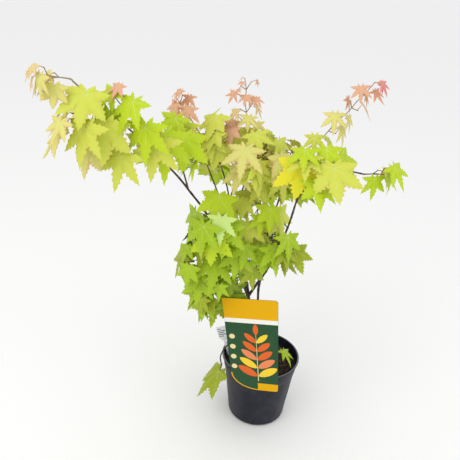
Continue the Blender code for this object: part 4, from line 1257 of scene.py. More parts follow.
def along(values, share):
    """The value at a share of the way along an evenly spaced list."""
    place = share * (len(values) - 1)
    index = min(int(place), len(values) - 2)
    return values[index] + (values[index + 1] - values[index]) * (place - index)


def between(path):
    """The points of a path and the middles of its stretches."""
    return [*path, *(before.lerp(after, 0.5) for before, after in zip(path, path[1:]))]


def tapering(start, end, count):
    return [end + (start - end) * (1 - i / (count - 1)) ** TAPER_POWER for i in range(count)]


def limb_lines():
    """The centre line and the radii of the trunk and each bough."""
    path = arc_path(UP * (SOIL_TOP + GAP), *TRUNK.values())
    lines = {"trunk": (path, tapering(TRUNK_BASE, TRUNK_TIP, len(path)))}
    for name, (parent, share, heading, rise, length, sweep, lift, radius) in BOUGHS.items():
        path = arc_path(along(lines[parent][0], share), heading, rise, length, sweep, lift)
        lines[name] = (path, tapering(radius, LIMB_TIP, len(path)))
    return lines


def room_round(points):
    """The centre and radius of the room that points take."""
    centre = sum(points, Vector()) / len(points)
    return centre, max((point - centre).length for point in points)


class Obstacles:
    """Everything built so far, which a new twig or leaf must keep clear of."""

    def __init__(self):
        self.items = []

    def add(self, points, faces):
        tree = BVHTree.FromPolygons([tuple(p) for p in points], faces)
        self.items.append((*room_round(points), tree))

    def near(self, centre, radius):
        return [tree for middle, size, tree in self.items if (middle - centre).length < size + radius]

    def touches_points(self, points, margin):
        """Whether any of the points is closer to an obstacle than the margin."""
        return any(
            tree.find_nearest(point, margin)[0] is not None
            for point in points
            for tree in self.near(point, margin)
        )

    def touches_path(self, path, margin):
        """Whether a thin shoot along the path would come closer than the margin."""
        if self.touches_points(between(path), margin):
            return True
        return self.touches_mesh(*tube_shape(path, margin))

    def touches_mesh(self, points, faces):
        close = self.near(*room_round(points))
        if not close:
            return False
        tree = BVHTree.FromPolygons([tuple(p) for p in points], faces)
        return any(other.overlap(tree) for other in close)


def leaf_room(place, length, margin=0.0):
    """The points and faces of the room that one leaf takes."""
    half = LEAF_THICKNESS / 2 + margin
    points = [place @ (UP * half), place @ (UP * -half)]
    for turn, reach, drop in LEAF_ROOM:
        turn = radians(turn)
        out = reach * length + 2 * margin
        spot = Vector((out * sin(turn), out * cos(turn), -drop * length))
        points.append(place @ spot)
    count = len(LEAF_ROOM)
    faces = []
    for i in range(count):
        here, after = 2 + i, 2 + (i + 1) % count
        faces += [(0, after, here), (1, here, after)]
    return points, faces


def tube_shape(path, radius):
    """The points and faces of a thin three-sided tube, for keeping clear of it."""
    points = []
    for i, place in enumerate(path):
        way = (path[min(i + 1, len(path) - 1)] - path[max(i - 1, 0)]).normalized()
        side = way.orthogonal().normalized()
        for turn in (0, 120, 240):
            points.append(place + Matrix.Rotation(radians(turn), 3, way) @ side * radius)
    faces = []
    for i in range(len(path) - 1):
        for k in range(3):
            a, b = 3 * i + k, 3 * i + (k + 1) % 3
            faces.append((a, b, b + 3, a + 3))
    return points, faces


def leaf_place(root, way, droop, roll):
    """Where a blade lies: its Y runs out and down from the stalk, and its face is up."""
    light = Vector((root.x - CROWN_AXIS[0], root.y - CROWN_AXIS[1], 0)).normalized()
    level = Vector((way.x, way.y, 0)) + light * TOWARDS_LIGHT
    level = level.normalized()
    droop = radians(droop)
    down = level * cos(droop) - UP * sin(droop)
    face = level * sin(droop) + UP * cos(droop)
    axes = Matrix((down.cross(face), down, face)).transposed().to_4x4()
    return Matrix.Translation(root) @ axes @ Matrix.Rotation(radians(roll), 4, "Y")


class CardView:
    """The space between the camera and the card, and the fork just above it."""

    def __init__(self, place):
        self.to_card = place.inverted()
        self.eye = self.to_card @ Vector(CAMERA_PLACE)

    def holds(self, point):
        """Whether a leaf at the point would hide the card or the fork."""
        spot = self.to_card @ point
        if not 0 < spot.z < self.eye.z:
            return False
        seen = spot + (self.eye - spot) * spot.z / (spot.z - self.eye.z)
        top, side = VIEW_CARD
        fork_top, fork_side, fork_half = VIEW_FORK
        on_card = 0 < seen.y < top and abs(seen.x) < side
        return on_card or (top <= seen.y < fork_top and abs(seen.x - fork_side) < fork_half)


class Mass:
    """One sprig of foliage: a stem, its side twigs and their leaves."""

    def __init__(self, name, bough_line, obstacles, card_view):
        values = MASSES[name]
        _, heading, rise, length, self.reach, self.hang = values[:6]
        self.leaf_length, self.droop, self.pairs, self.seed = values[6:]
        self.name = name
        self.node = "leaves_" + name
        self.draw = random.Random(self.seed)
        self.obstacles = obstacles
        self.card_view = card_view
        self.twig_margin = TWIG_MARGIN
        self.stalk_margin = STALK_MARGIN
        self.clearance = CLEARANCE
        self.twigs = []
        self.leaves = []
        self.age = 0.0
        path, radii = bough_line
        self.radius = radii[-1]
        end = (path[-1] - path[-2]).normalized()
        start = path[-1] + end * GAP
        for _ in range(TRIES):
            self.stem = self.draw_stem(start, end, direction(heading, rise), length)
            if not self.obstacles.touches_path(self.stem[1:], STEM_MARGIN):
                break
            heading += self.vary(STEM_SEARCH)
            rise += self.vary(STEM_SEARCH)

    def vary(self, most):
        """A random amount, up to the most either way."""
        return self.draw.uniform(-most, most)

    def draw_stem(self, start, end, way, length):
        """A stem that leaves the bough's tip in line with it and then turns its own way."""
        stem = [start, start + end * STRAIGHT_START]
        steps = max(2, round(length / NODE_SPACING))
        for _ in range(steps):
            wander = Vector([self.vary(STEM_WANDER) for _ in range(3)])
            stem.append(stem[-1] + (way + wander).normalized() * length / steps)
        return stem

    def inside(self, point):
        """Whether a point is in this mass's own space, a rounded bar hung from its stem."""
        first, last = self.stem[1], self.stem[-1]
        line = last - first
        share = max(0.0, min(1.0, (point - first).dot(line) / line.length_squared))
        away = point - first - line * share
        away.z = max(away.z, min(0.0, away.z + self.hang))
        return away.length < self.reach

    def grow(self):
        self.add_twig(self.stem, self.radius, None)
        way = (self.stem[-1] - self.stem[1]).normalized()
        turn = self.vary(FIRST_TURN)
        for i in range(self.pairs):
            share = (i + 1) / (self.pairs + 1)
            self.age = share
            root = along(self.stem[1:], share)
            length = TWIG_SHARE * self.reach * (TWIG_FIRST - TWIG_LOSS * share)
            size = OLD_LEAF_SIZE - YOUNG_SHARE * share
            for side in (0, 180):
                self.grow_twig(root, way, turn + side, length, size, 0)
            turn += 90
        self.age = 1.0
        tip = self.stem[-1] - way * NODE_INSET
        self.grow_pair(tip, way, turn, OLD_LEAF_SIZE - YOUNG_SHARE, 0)
        self.grow_pair(tip, way, turn + 90, OLD_LEAF_SIZE - YOUNG_SHARE, 0)

    def grow_finer(self, size):
        """Carry the rule on to short shoots and smaller leaves between the first ones."""
        self.draw = random.Random(self.seed + FINE_SEED)
        self.twig_margin = FINE_MARGIN
        self.stalk_margin = FINE_MARGIN
        self.clearance = FINE_CLEARANCE
        fullness = MASS_LOOKS[self.name][0]
        for number, (path, _, age, _) in enumerate(list(self.twigs)):
            self.age = age
            turn = self.draw.uniform(0, 180)
            if number == 0:
                path = path[1:]
            for before, after in zip(path, path[1:]):
                if self.draw.random() >= fullness:
                    continue
                way = (after - before).normalized()
                if number == 0:
                    self.age = (after - path[0]).length / (path[-1] - path[0]).length
                self.grow_pair(before.lerp(after, 0.5), way, turn, size, number)
                for side in (0, 180):
                    length = FINE_SHOOT_SHARE * self.reach
                    self.grow_twig(after, way, turn + 90 + side, length, size, number)
                turn += 90

    def add_twig(self, path, radius, parent):
        self.twigs.append((path, tapering(radius, TWIG_TIP, len(path)), self.age, parent))
        self.obstacles.add(*tube_shape(path[1:] if path is self.stem else path, TWIG_BASE))

    def sideways(self, way, turn, angle):
        """A direction that leaves a shoot at an angle, turned round it from level."""
        across = way.cross(UP)
        across = across.normalized() if across.length > UPRIGHT else Vector((1, 0, 0))
        out = Matrix.Rotation(radians(turn), 3, way) @ across
        angle = radians(angle)
        return (way * cos(angle) + out * sin(angle)).normalized()

    def grow_twig(self, root, way, turn, length, size, parent):
        for _ in range(TRIES):
            angle = TWIG_ANGLE + self.vary(TWIG_ANGLE_SPREAD)
            spread = self.vary(TWIG_TURN_SPREAD)
            out = self.sideways(way, turn + spread, angle)
            steps = max(1, round(length / NODE_SPACING))
            path = [root]
            for _ in range(steps):
                out = (out + UP * TWIG_RISE).normalized()
                path.append(path[-1] + out * length / steps)
            clear = [root.lerp(path[1], TWIG_CLEAR_SHARE), *path[1:]]
            inside = all(self.inside(point) and not self.card_view.holds(point) for point in path[1:])
            if inside and not self.obstacles.touches_path(clear, self.twig_margin):
                break
            length *= TWIG_SHRINK
        else:
            return
        self.add_twig(path, TWIG_BASE, parent)
        number = len(self.twigs) - 1
        spin = turn
        for before, after in zip(path, path[1:]):
            out = (after - before).normalized()
            self.grow_pair(after - out * NODE_INSET, out, spin, size, number)
            spin += 90

    def leafy_twigs(self):
        """The twigs that carry a leaf, or a twig that does; bare ones have died back."""
        leafy = {leaf[4] for leaf in self.leaves} | {0}
        for number in reversed(range(1, len(self.twigs))):
            if number in leafy:
                leafy.add(self.twigs[number][3])
        return [self.twigs[number] for number in sorted(leafy)]

    def grow_pair(self, root, way, turn, size, number):
        for side in (0, 180):
            self.grow_leaf(root, way, turn + side, size, number)

    def grow_leaf(self, root, way, turn, size, number):
        length = size * self.leaf_length
        length *= self.draw.uniform(1 - LEAF_SIZE_SPREAD, 1 + LEAF_SIZE_SPREAD)
        for _ in range(TRIES):
            angle = LEAF_ANGLE + self.vary(LEAF_ANGLE_SPREAD)
            spread = self.vary(LEAF_TURN_SPREAD)
            out = self.sideways(way, turn + spread, angle)
            stalk = length * STALK_SHARE * self.draw.uniform(STALK_SHORTEST, STALK_LONGEST)
            out = (out - UP * STALK_SAG).normalized()
            joint = root + out * stalk
            droop = self.droop + self.vary(LEAF_DROOP_SPREAD)
            place = leaf_place(joint, out, droop, self.vary(LEAF_ROLL))
            place @= Matrix.Translation((0, STALK_INSET * length, 0))
            if self.fits(root, joint, place, length):
                break
            length *= SHRINK
        else:
            return
        self.leaves.append((root, joint, place, length, number, self.age))
        self.obstacles.add(*leaf_room(place, length, self.clearance / 2))
        stalk = [root.lerp(joint, share) for share in STALK_KEPT]
        self.obstacles.add(*tube_shape(stalk, STALK_RADIUS))

    def fits(self, root, joint, place, length):
        points, faces = leaf_room(place, length, self.clearance)
        if not self.inside(place @ Vector((0, LEAF_MIDDLE * length, 0))):
            return False
        if any(self.card_view.holds(point) for point in points):
            return False
        stalk = [root.lerp(joint, share) for share in STALK_PROBES]
        if self.obstacles.touches_path(stalk, self.stalk_margin):
            return False
        return not self.obstacles.touches_mesh(points, faces)


def grow_masses(lines, fine_size, card_view):
    """All foliage, first by the solids' rule and then carried on to finer shoots."""
    obstacles = Obstacles()
    for name, node in frame["nodes"].items():
        if not name.startswith("leaves_"):
            points = [vert.co.copy() for vert in node.data.vertices]
            obstacles.add(points, [tuple(face.vertices) for face in node.data.polygons])
    masses = []
    for name, values in MASSES.items():
        mass = Mass(name, lines[values[0]], obstacles, card_view)
        mass.grow()
        masses.append(mass)
    for mass in masses:
        mass.grow_finer(fine_size)
    return masses


# Limbs and twigs in detail


def rounded_line(path, radii, spacing):
    """Close points on a smooth line through the path, with their radii."""
    points = []
    sizes = []
    for i in range(len(path) - 1):
        a, b = path[i], path[i + 1]
        before = path[i - 1] if i else a - (b - a)
        after = path[i + 2] if i + 2 < len(path) else b + (b - a)
        count = max(1, round((b - a).length / spacing))
        for k in range(count):
            t = k / count
            point = (
                2 * a
                + (b - before) * t
                + (2 * before - 5 * a + 4 * b - after) * t**2
                + (3 * a - before - 3 * b + after) * t**3
            ) / 2
            points.append(point)
            sizes.append(radii[i] + (radii[i + 1] - radii[i]) * t)
    return [*points, path[-1]], [*sizes, radii[-1]]


def with_nodes(points, radii, sizes, draw):
    """Swell a line at its old leaf nodes, and let it swing a little from one to the next."""
    run = draw.uniform(0, sizes.node_spacing)
    swing = Vector([draw.uniform(-1, 1) for _ in range(3)]).normalized()
    moved = [points[0]]
    thick = [radii[0]]
    for before, point, radius in zip(points, points[1:], radii[1:]):
        run += (point - before).length
        place = run / sizes.node_spacing
        off = (place - round(place)) * sizes.node_spacing / sizes.node_width
        swell = 1 + sizes.node_swelling * exp(-off * off)
        side = swing * sizes.zigzag * radius * cos(pi * place)
        moved.append(point + side)
        thick.append(radius * swell)
    return moved, thick


def flared_foot(points, radii):
    """The trunk's line with its root flare at the soil."""
    foot = points[0]
    spread = FLARE_RADIUS - TRUNK_BASE
    low = [foot - UP * 2 * GAP]
    low_radii = [FLARE_RADIUS]
    for share, left in FLARE_SHAPE:
        height = FLARE_HEIGHT * share + GAP
        low.append(foot + Vector((-FLARE_LEAN * height, 0, height)))
        low_radii.append(TRUNK_BASE + spread * left)
    upper = [i for i, point in enumerate(points) if point.z > low[-1].z + 0.001]
    return low + [points[i] for i in upper], low_radii + [radii[i] for i in upper]


def detailed_limbs(lines, sizes):
    draw = random.Random(BARK_SEED)
    made = {}
    for name, (path, radii) in lines.items():
        points, thick = rounded_line(path, radii, sizes.ring_spacing)
        if name == "trunk":
            points, thick = flared_foot(points, thick)
        else:
            collar = min(COLLAR_RINGS, len(thick) - 1)
            for i in range(collar):
                thick[i] *= 1 + COLLAR_SWELLING * (1 - i / collar) ** 2
        made[name] = with_nodes(points, thick, sizes, draw)
    return made


def twig_lines(masses):
    """Every twig's rounded line, thinner than its solid, with swollen nodes."""
    made = []
    for mass in masses:
        for number, (path, radii, _, _) in enumerate(mass.leafy_twigs()):
            path = list(path)
            thin = [radius * TWIG_THINNING for radius in radii]
            if number == 0:
                path[0] = path[0] - (path[1] - path[0]).normalized() * STEM_SUNK
                thin[:2] = radii[:2]
            points, thick = rounded_line(path, thin, TWIG_SPACING)
            for i, point in enumerate(points):
                if any((point - node).length < TWIG_NODE for node in path[1:]):
                    thick[i] *= TWIG_NODE_SWELLING
            made.append((points, thick))
    return made


# Leaves


class LeafPattern:
    """The flat pattern of a blade of length 1, shared by every leaf."""

    def __init__(self, form):
        self.notches, self.belly = LEAF_FORMS[form]
        self.index = {}
        self.spots = []
        self.faces = []
        self.slots = []
        for side in (1, -1):
            for lobe in range(len(LOBES)):
                if lobe:
                    self.add_half(side, lobe, lobe - 1)
                self.add_half(side, lobe, lobe)
        self.spots = np.array(self.spots)

    def vertex(self, key, x, y, lift=0.0, layer=0):
        """A vertex: where it is on the flat blade, its swell, and which skin it is on."""
        if key not in self.index:
            self.index[key] = len(self.spots)
            self.spots.append((x, y, lift, layer))
        return self.index[key]

    def add_half(self, side, lobe, notch):
        """Half of a lobe, from its midrib out to its teeth and its hollow."""
        ribs, edges = self.half_lobe(lobe, notch)
        last = len(ribs) - 1
        for layer in (1, -1):
            rows = []
            for i, (rib, edge) in enumerate(zip(ribs, edges)):
                rows.append(self.place_row(side, lobe, notch, i, last, rib, edge, layer))
            for i, (row, further) in enumerate(zip(rows, rows[1:])):
                rib, inner, edge = row
                rib_next, inner_next, edge_next = further
                outside = i > 1  # up to the hollow, two lobes meet there without a margin
                self.add_face((rib, rib_next, inner_next, inner), 0, layer)
                self.add_face((inner, inner_next, edge_next, edge), int(outside), layer)

    def lobe_rise(self, lobe, notch):
        """Where a hollow lies beside a lobe: along its midrib and across from it."""
        apart = radians(NOTCH_TURNS[notch] - LOBES[lobe][0])
        return self.notches[notch] * cos(apart), self.notches[notch] * sin(apart)

    def half_lobe(self, lobe, notch):
        """Matching points down a midrib and round the edge, as (along, across) the lobe."""
        _, reach, _, teeth = LOBES[lobe]
        rise, half = self.lobe_rise(lobe, notch)
        beside = [self.lobe_rise(lobe, n)[0] for n in (lobe - 1, lobe) if n >= 0]
        rib_start = RIB_START * sum(beside) / len(beside)
        ribs = [(0, 0), (rib_start / 2, 0), (rib_start, 0)]
        edges = [(0, 0), (rise / 2, half / 2), (rise, half)]
        way = 1 if half > 0 else -1
        for i in range(teeth):
            for within, out in ((TOOTH_LEAN, TOOTH_PEAK), (1.0, -TOOTH_VALLEY)):
                share = (i + within) / (teeth + LOBE_TIP)
                width = abs(half) * (1 - share) * (1 + LOBE_FULLNESS * share)
                width += self.belly * reach * share * (1 - share) ** 2
                width *= 1 + out
                edges.append((rise + (reach - rise) * share, way * width))
                ribs.append((rib_start + (reach - rib_start) * share * SIDE_VEIN_LEAN, 0))
        ribs.append((reach, 0))
        edges.append((reach, 0))
        return ribs, edges

    def place_row(self, side, lobe, notch, i, last, rib, edge, layer):
        """The midrib, inner and edge vertices of one row."""
        turn = radians(LOBES[lobe][0])
        to_edge = (edge[0] - rib[0], edge[1] - rib[1])
        inner = (rib[0] + to_edge[0] * INNER_SHARE, rib[1] + to_edge[1] * INNER_SHARE)
        width = hypot(*to_edge)
        flat = []
        for along_rib, across in (rib, inner, edge):
            x = along_rib * sin(turn) + across * cos(turn)
            y = along_rib * cos(turn) - across * sin(turn)
            flat.append((x * side, y))
        rib_side = 0 if lobe == 0 else side
        notch_side = 0 if NOTCH_TURNS[notch] == 180 else side
        if i == 0:
            return [self.vertex(("centre", layer), 0, 0, 0, layer)] * 3
        if i == last:
            return [self.vertex(("tip", lobe, rib_side), *flat[0])] * 3
        first = self.vertex(("rib", lobe, rib_side, i, layer), *flat[0], 0, layer)
        key = ("inner", side, lobe, notch, i, layer)
        second = self.vertex(key, *flat[1], BLADE_PUFF * width, layer)
        if i == 1:
            key = ("border", notch, notch_side, layer)
            third = self.vertex(key, *flat[2], BLADE_PUFF * width, layer)
        else:
            key = ("notch", notch, notch_side) if i == 2 else ("edge", side, lobe, notch, i)
            third = self.vertex(key, *flat[2], MARGIN_PUFF * width)
        return first, second, third

    def add_face(self, corners, slot, layer):
        corners = list(dict.fromkeys(corners))
        if len(corners) < 3:
            return
        area = 0.0
        for a, b in zip(corners, corners[1:] + corners[:1]):
            area += self.spots[a][0] * self.spots[b][1] - self.spots[b][0] * self.spots[a][1]
        if area * layer < 0:
            corners.reverse()
        self.faces.append(corners)
        self.slots.append(slot)


class Blade:
    """One leaf: how the flat pattern is bent and where it hangs."""

    def __init__(self, place, length, form, draw, sizes):
        self.form = form
        lobes = []
        for turn, _, drop, _ in LOBES:
            for side in (1, -1) if turn else (1,):
                stretch = 1 + draw.uniform(-1, 1) * sizes.lobe_spread
                hang = drop * (1 + draw.uniform(-1, 1) * sizes.droop_spread)
                lobes.append((turn * side, stretch, hang))
        self.turns, self.stretches, self.drops = np.array(sorted(lobes)).T
        self.curl = draw.uniform(-1, 1) * sizes.curl
        self.twist = draw.uniform(-1, 1) * sizes.twist
        self.wave = draw.uniform(0, 2 * pi)
        self.thickness = sizes.thickness
        self.place = place
        self.length = length

    def bend(self, spots):
        """Where points of the flat pattern come to lie."""
        x, y, lift, layer = spots.T
        turn = np.degrees(np.arctan2(x, y))
        reach = np.hypot(x, y)
        settled = np.minimum(1, reach / STRETCH_FROM)
        stretch = 1 + (np.interp(turn, self.turns, self.stretches) - 1) * settled
        drop = np.interp(turn, self.turns, self.drops) * reach**DROP_POWER
        phase = RIPPLE_OUT * reach + self.wave + np.radians(turn) * RIPPLES_ROUND
        z = lift - drop + RIPPLE_HEIGHT * np.sin(phase) * reach
        x = x * stretch + self.curl * y * np.abs(y)
        y = y * stretch
        way = self.twist * reach
        x, z = x * np.cos(way) + z * np.sin(way), z * np.cos(way) - x * np.sin(way)
        points = np.stack((x, y, z), axis=1) * self.length
        points[:, 2] += layer * self.thickness / 2
        matrix = np.array(self.place)
        return points @ matrix[:3, :3].T + matrix[:3, 3]

    def veins(self, radius):
        """The lines and radii of its main veins, one to a lobe."""
        lines = []
        for turn, reach, _, _ in LOBES:
            for side in (1, -1) if turn else (1,):
                x = sin(radians(turn) * side) * reach
                y = cos(radians(turn) * side) * reach
                spots = [(x * share, y * share, 0, VEIN_HEIGHT) for share in VEIN_PLACES]
                start = radius * (SHORT_VEIN + (1 - SHORT_VEIN) * reach)
                start *= min(1.0, self.length / FULL_LEAF)
                thick = [start * (1 - VEIN_TAPER * share) for share in VEIN_PLACES]
                lines.append((self.bend(np.array(spots)).tolist(), thick))
        return lines


def stalk_line(root, joint, base):
    """A leaf stalk's line: it leaves the twig, arches a little and runs on to the blade."""
    middle = root.lerp(joint, 0.5) + UP * STALK_ARCH * (joint - root).length
    return rounded_line([root, middle, joint, base], STALK_RADII, STALK_SPACING)


def deal_tints(mass):
    """A tint for each leaf of a mass, the same through a spray, younger towards its tip."""
    draw = random.Random(mass.seed + 2 * FINE_SEED)
    tints = MASS_LOOKS[mass.name][2].split()
    by_spray = {}
    dealt = []
    for leaf in mass.leaves:
        spray, age = leaf[4:]
        if spray not in by_spray:
            place = age * (len(tints) - 1) + draw.uniform(-TINT_WANDER, TINT_WANDER)
            by_spray[spray] = max(0, min(len(tints) - 1, round(place)))
        number = by_spray[spray]
        if draw.random() < STRAY_SHARE:
            number = max(0, min(len(tints) - 1, number + draw.choice((-1, 1))))
        dealt.append(ODD_SPRAYS.get((mass.name, spray), tints[number]))
    return dealt


def fitted_blade(blade, pattern):
    """The blade, drawn smaller where it would stand outside the box of the solids."""
    low, high = CAD_BOX
    for _ in range(TRIES):
        points = blade.bend(pattern.spots)
        if (points >= low).all() and (points <= high).all():
            break
        blade.length *= BOX_SHRINK
    return blade


def blades_mesh(name, blades, patterns):
    """One mesh of all blades of a tint."""
    points = []
    faces = []
    slots = []
    for blade in blades:
        pattern = patterns[blade.form]
        start = len(points)
        points += blade.bend(pattern.spots).tolist()
        faces += [[corner + start for corner in face] for face in pattern.faces]
        slots += pattern.slots
    obj = mesh_object(name, points, [], faces)
    obj.data.polygons.foreach_set("material_index", slots)
    shade(obj, BLADE_CREASE)
    return obj


def make_twigs(name, masses, young, tree, sides, colour):
    """One mesh of the twigs of all young masses, or of all others."""
    some = [mass for mass in masses if (mass.name in YOUNG_MASSES) == young]
    skin = green_wood(name + "_skin", colour)
    twigs = skin_lines(name, twig_lines(some), tree, skin, sides, TWIG_RELIEF)
    hand_over(twigs, [mass.node for mass in some])


def deal_blades(masses, patterns, sizes):
    """Each tint's blades and the masses it stands for, and the lines of all stalks."""
    blades = {tint: [] for tint in TINTS}
    stands_for = {tint: set() for tint in TINTS}
    stalks = []
    for mass in masses:
        draw = random.Random(mass.seed + 3 * FINE_SEED)
        youngest = MASS_LOOKS[mass.name][1]
        for (root, joint, place, length, _, age), tint in zip(mass.leaves, deal_tints(mass)):
            length *= 1 + (youngest - 1) * age**2
            form = "cut" if draw.random() < CUT_SHARE else "broad"
            form = MASS_FORMS.get(mass.name, form)
            blade = Blade(place, length, form, draw, sizes)
            blades[tint].append(fitted_blade(blade, patterns[form]))
            stands_for[tint].add(mass.node)
            stalks.append(stalk_line(root, joint, place.translation))
    return blades, stands_for, stalks


# Stage


def camera_matrix():
    turns = ((-CAMERA_YAW, "Z"), (90 - CAMERA_PITCH, "X"), (CAMERA_ROLL, "Z"))
    matrix = Matrix.Translation(CAMERA_PLACE)
    for turn, axis in turns:
        matrix @= Matrix.Rotation(radians(turn), 4, axis)
    return matrix


def add_area_light(name, place, target, size, power, colour):
    data = bpy.data.lights.new(name, "AREA")
    data.size = size
    data.energy = power
    data.color = colour
    light = add_object(name, data)
    light.location = place
    way = Vector(target) - Vector(place)
    light.rotation_euler = way.to_track_quat("-Z", "Y").to_euler()


class MAPLE_OT_stage(bpy.types.Operator):
    """Make the camera, the pale floor and the soft light"""

    bl_idname = "maple.stage"
    bl_label = "Stage"

    def execute(self, context):
        data = bpy.data.cameras.new("camera")
        data.sensor_width = SENSOR_MM
        data.lens = CAMERA_FOCAL_PIXELS / IMAGE_PIXELS * SENSOR_MM
        camera = add_object("camera", data)
        camera.matrix_world = camera_matrix()
        context.scene.camera = camera
        bpy.ops.mesh.primitive_plane_add(size=FLOOR_WIDTH)
        floor = context.object
        floor.name = "floor"
        pale = new_material("pale_floor", linear("FDFDFD"), 0.9, gloss=0.1)[0]
        floor.data.materials.append(pale)
        floor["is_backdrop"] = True
        world = bpy.data.worlds.new("soft_white")
        world.use_nodes = True
        sky = world.node_tree.nodes["Background"].inputs
        sky["Color"].default_value = (1, 1, 1, 1)
        sky["Strength"].default_value = SKY_STRENGTH
        context.scene.world = world
        for name, lamp in LAMPS.items():
            add_area_light(name, *lamp)
        context.scene.view_settings.view_transform = "Standard"
        return {"FINISHED"}


class MAPLE_OT_pot(bpy.types.Operator):
    """Make the moulded nursery pot"""

    bl_idname = "maple.pot"
    bl_label = "Pot"

    def execute(self, context):
        sizes = context.scene.maple_pot
        pot = build_pot(sizes)
        hand_over(pot, ["pot"], [moulded_polypropylene(sizes)])
        return {"FINISHED"}


class MAPLE_OT_soil(bpy.types.Operator):
    """Fill the pot with compost and strew bark chips on it"""

    bl_idname = "maple.soil"
    bl_label = "Soil"

    def execute(self, context):
        sizes = context.scene.maple_soil
        pot = context.scene.maple_pot
        soil = build_soil(sizes, pot)
        hand_over(soil, ["soil"], [damp_peat(sizes)])
        tree = scatter_tree()
        chips = bark_chip("composted_bark", sizes.chip)
        crumbs = bark_chip("peat_crumbs", sizes.crumb)
        large = (sizes.chip_density, sizes.chip_length, *CHIP_SHAPE, chips)
        small = (sizes.grit_density, sizes.grit_size, *CRUMB_SHAPE, crumbs)
        hand_over(strew("soil_chips", sizes, pot, tree, *large))
        hand_over(strew("soil_crumbs", sizes, pot, tree, *small))
        return {"FINISHED"}


class MAPLE_OT_label(bpy.types.Operator):
    """Make the label's hook, its card and the print of a plain generic design"""

    bl_idname = "maple.label"
    bl_label = "Label"

    def execute(self, context):
        label = context.scene.maple_label
        inks = {name: printed_vinyl("vinyl_" + name, getattr(label, name)) for name in INKS}
        place = card_matrix(label)
        green = printed_vinyl("vinyl_green", label.green)
        rounding = label.thickness * SHEET_ROUNDING
        card = plate("card_sheet", [card_outline(label)], label.thickness, rounding)
        card.data.transform(place)
        shade(card)
        hand_over(card, ["label_card"], [green])
        for name, ink, layer, outlines in printed_fields(label):
            proud = label.thickness / 2 + label.ink * (layer - 0.5)
            sheet = plate("card_" + name, outlines, label.ink)
            sheet.data.transform(place @ Matrix.Translation((0, 0, proud)))
            hand_over(sheet, (), [inks[ink]])
        outline = tongue_outline(label, context.scene.maple_pot)
        hook = plate("card_hook", [outline], label.tongue_width, HOOK_ROUNDING)
        upright = Matrix(((0, 0, 1, 0), (1, 0, 0, 0), (0, 1, 0, 0), (0, 0, 0, 1)))
        hook.data.transform(Matrix.Rotation(-label.turn, 4, "Z") @ upright)
        shade(hook)
        hand_over(hook, ["label_tongue"], [green])
        return {"FINISHED"}


class MAPLE_OT_tag(bpy.types.Operator):
    """Make the small white tag with its plain printed bars"""

    bl_idname = "maple.tag"
    bl_label = "Tag"

    def execute(self, context):
        sizes = context.scene.maple_tag
        place = tag_matrix(sizes)
        rounding = sizes.thickness * SHEET_ROUNDING
        tag = plate("tag_sheet", [tag_outline(sizes)], sizes.thickness, rounding)
        tag.data.transform(place)
        shade(tag)
        hand_over(tag, ["tag"], [styrene("white_styrene", sizes.plastic)])
        bars = []
        column = sizes.head_width * TAG_COLUMN
        left = -column / 2
        for i, share in enumerate(TAG_BARS):
            low = sizes.stem_length + TAG_BARS_FOOT + TAG_BAR_STEP * i
            high = low + TAG_BAR_HEIGHT
            right = left + column * share
            bars.append([(left, low), (right, low), (right, high), (left, high)])
        printed = plate("tag_bars", bars, sizes.thickness + 2 * TAG_INK)
        printed.data.transform(place)
        hand_over(printed, (), [styrene("printed_bars", sizes.print)])
        return {"FINISHED"}


class MAPLE_OT_limbs(bpy.types.Operator):
    """Make the trunk and the boughs with their bark"""

    bl_idname = "maple.limbs"
    bl_label = "Trunk and Boughs"

    def execute(self, context):
        sizes = context.scene.maple_bark
        made = detailed_limbs(limb_lines(), sizes)
        young = [made.pop(name) for name in YOUNG_BOUGHS]
        tree = shoot_tree()
        bark = young_bark(sizes)
        relief = (sizes.relief, sizes.grain)
        limbs = skin_lines("limbs", made.values(), tree, bark, sizes.sides, *relief)
        names = ["trunk", *("bough_" + name for name in BOUGHS if name not in YOUNG_BOUGHS)]
        hand_over(limbs, names)
        skin = green_wood("young_shoot", sizes.young_shoot)
        relief = (TWIG_RELIEF, sizes.grain)
        shoots = skin_lines("young_limbs", young, tree, skin, sizes.twig_sides, *relief)
        hand_over(shoots, ["bough_" + name for name in YOUNG_BOUGHS])
        return {"FINISHED"}


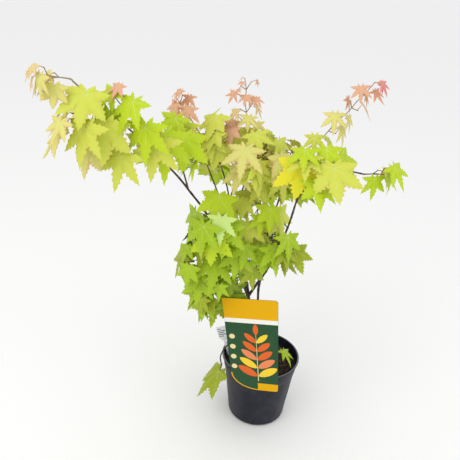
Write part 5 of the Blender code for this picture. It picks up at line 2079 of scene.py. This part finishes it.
class MAPLE_OT_foliage(bpy.types.Operator):
    """Grow the twigs, the leaf stalks and the leaves, and deal out their tints"""

    bl_idname = "maple.foliage"
    bl_label = "Twigs and Leaves"

    def execute(self, context):
        bark = context.scene.maple_bark
        leaf = context.scene.maple_foliage
        card_view = CardView(card_matrix(context.scene.maple_label))
        masses = grow_masses(limb_lines(), leaf.fine_size, card_view)
        tree = bpy.data.node_groups.get("shoots_from_lines") or shoot_tree()
        make_twigs("twigs", masses, False, tree, bark.twig_sides, bark.shoot)
        make_twigs("young_twigs", masses, True, tree, bark.twig_sides, bark.young_shoot)
        patterns = {form: LeafPattern(form) for form in LEAF_FORMS}
        blades, stands_for, stalks = deal_blades(masses, patterns, leaf)
        stalk = green_wood("leaf_stalk", bark.stalk)
        stalks = skin_lines("leaf_stalks", stalks, tree, stalk, bark.stalk_sides)
        hand_over(stalks, [mass.node for mass in masses])
        for tint, (slot, rosy) in TINTS.items():
            colour = getattr(leaf, tint)
            edge = mixed(colour, leaf.rosy_edge, rosy)
            skins = [leaf_skin("skin_" + tint, colour), leaf_skin("margin_" + tint, edge)]
            piece = blades_mesh("blades_" + tint, blades[tint], patterns)
            hand_over(piece, sorted(stands_for[tint]), skins)
        for name, slots, colour in (
            ("veins_pale", ("leaf_lime", "leaf_yellow"), leaf.pale_vein),
            ("veins_warm", ("leaf_orange",), leaf.warm_vein),
        ):
            tints = [tint for tint, (slot, _) in TINTS.items() if slot in slots]
            lines = []
            for tint in tints:
                for blade in blades[tint]:
                    lines += blade.veins(leaf.vein_radius)
            veins = skin_lines(name, lines, tree, leaf_skin(name, colour), bark.vein_sides)
            stood = set().union(*(stands_for[tint] for tint in tints))
            hand_over(veins, sorted(stood))
        return {"FINISHED"}


class MAPLE_PT_panel(bpy.types.Panel):
    """Buttons for each group of pieces"""

    bl_label = "Potted Maple"
    bl_idname = "MAPLE_PT_panel"
    bl_space_type = "VIEW_3D"
    bl_region_type = "UI"
    bl_category = "Maple"

    def draw(self, context):
        for step in STEPS:
            self.layout.operator(step.bl_idname)


STEPS = (
    MAPLE_OT_stage,
    MAPLE_OT_pot,
    MAPLE_OT_soil,
    MAPLE_OT_label,
    MAPLE_OT_tag,
    MAPLE_OT_limbs,
    MAPLE_OT_foliage,
)
GROUPS = {
    "maple_pot": PotSizes,
    "maple_soil": SoilSizes,
    "maple_label": LabelSizes,
    "maple_tag": TagSizes,
    "maple_bark": BarkSizes,
    "maple_foliage": FoliageSizes,
}
CLASSES = (*GROUPS.values(), *STEPS, MAPLE_PT_panel)
register_classes, unregister_classes = bpy.utils.register_classes_factory(CLASSES)


def register():
    register_classes()
    for name, group in GROUPS.items():
        setattr(bpy.types.Scene, name, PointerProperty(type=group))


def unregister():
    for name in GROUPS:
        delattr(bpy.types.Scene, name)
    unregister_classes()


def main():
    register()
    bpy.ops.maple.stage()
    bpy.ops.maple.pot()
    bpy.ops.maple.soil()
    bpy.ops.maple.label()
    bpy.ops.maple.tag()
    bpy.ops.maple.limbs()
    bpy.ops.maple.foliage()
    boxes = {"cad": CAD_BOX, "visual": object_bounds()}
    {name: [list(corner) for corner in box] for name, box in boxes.items()}


if __name__ == "__main__":
    main()
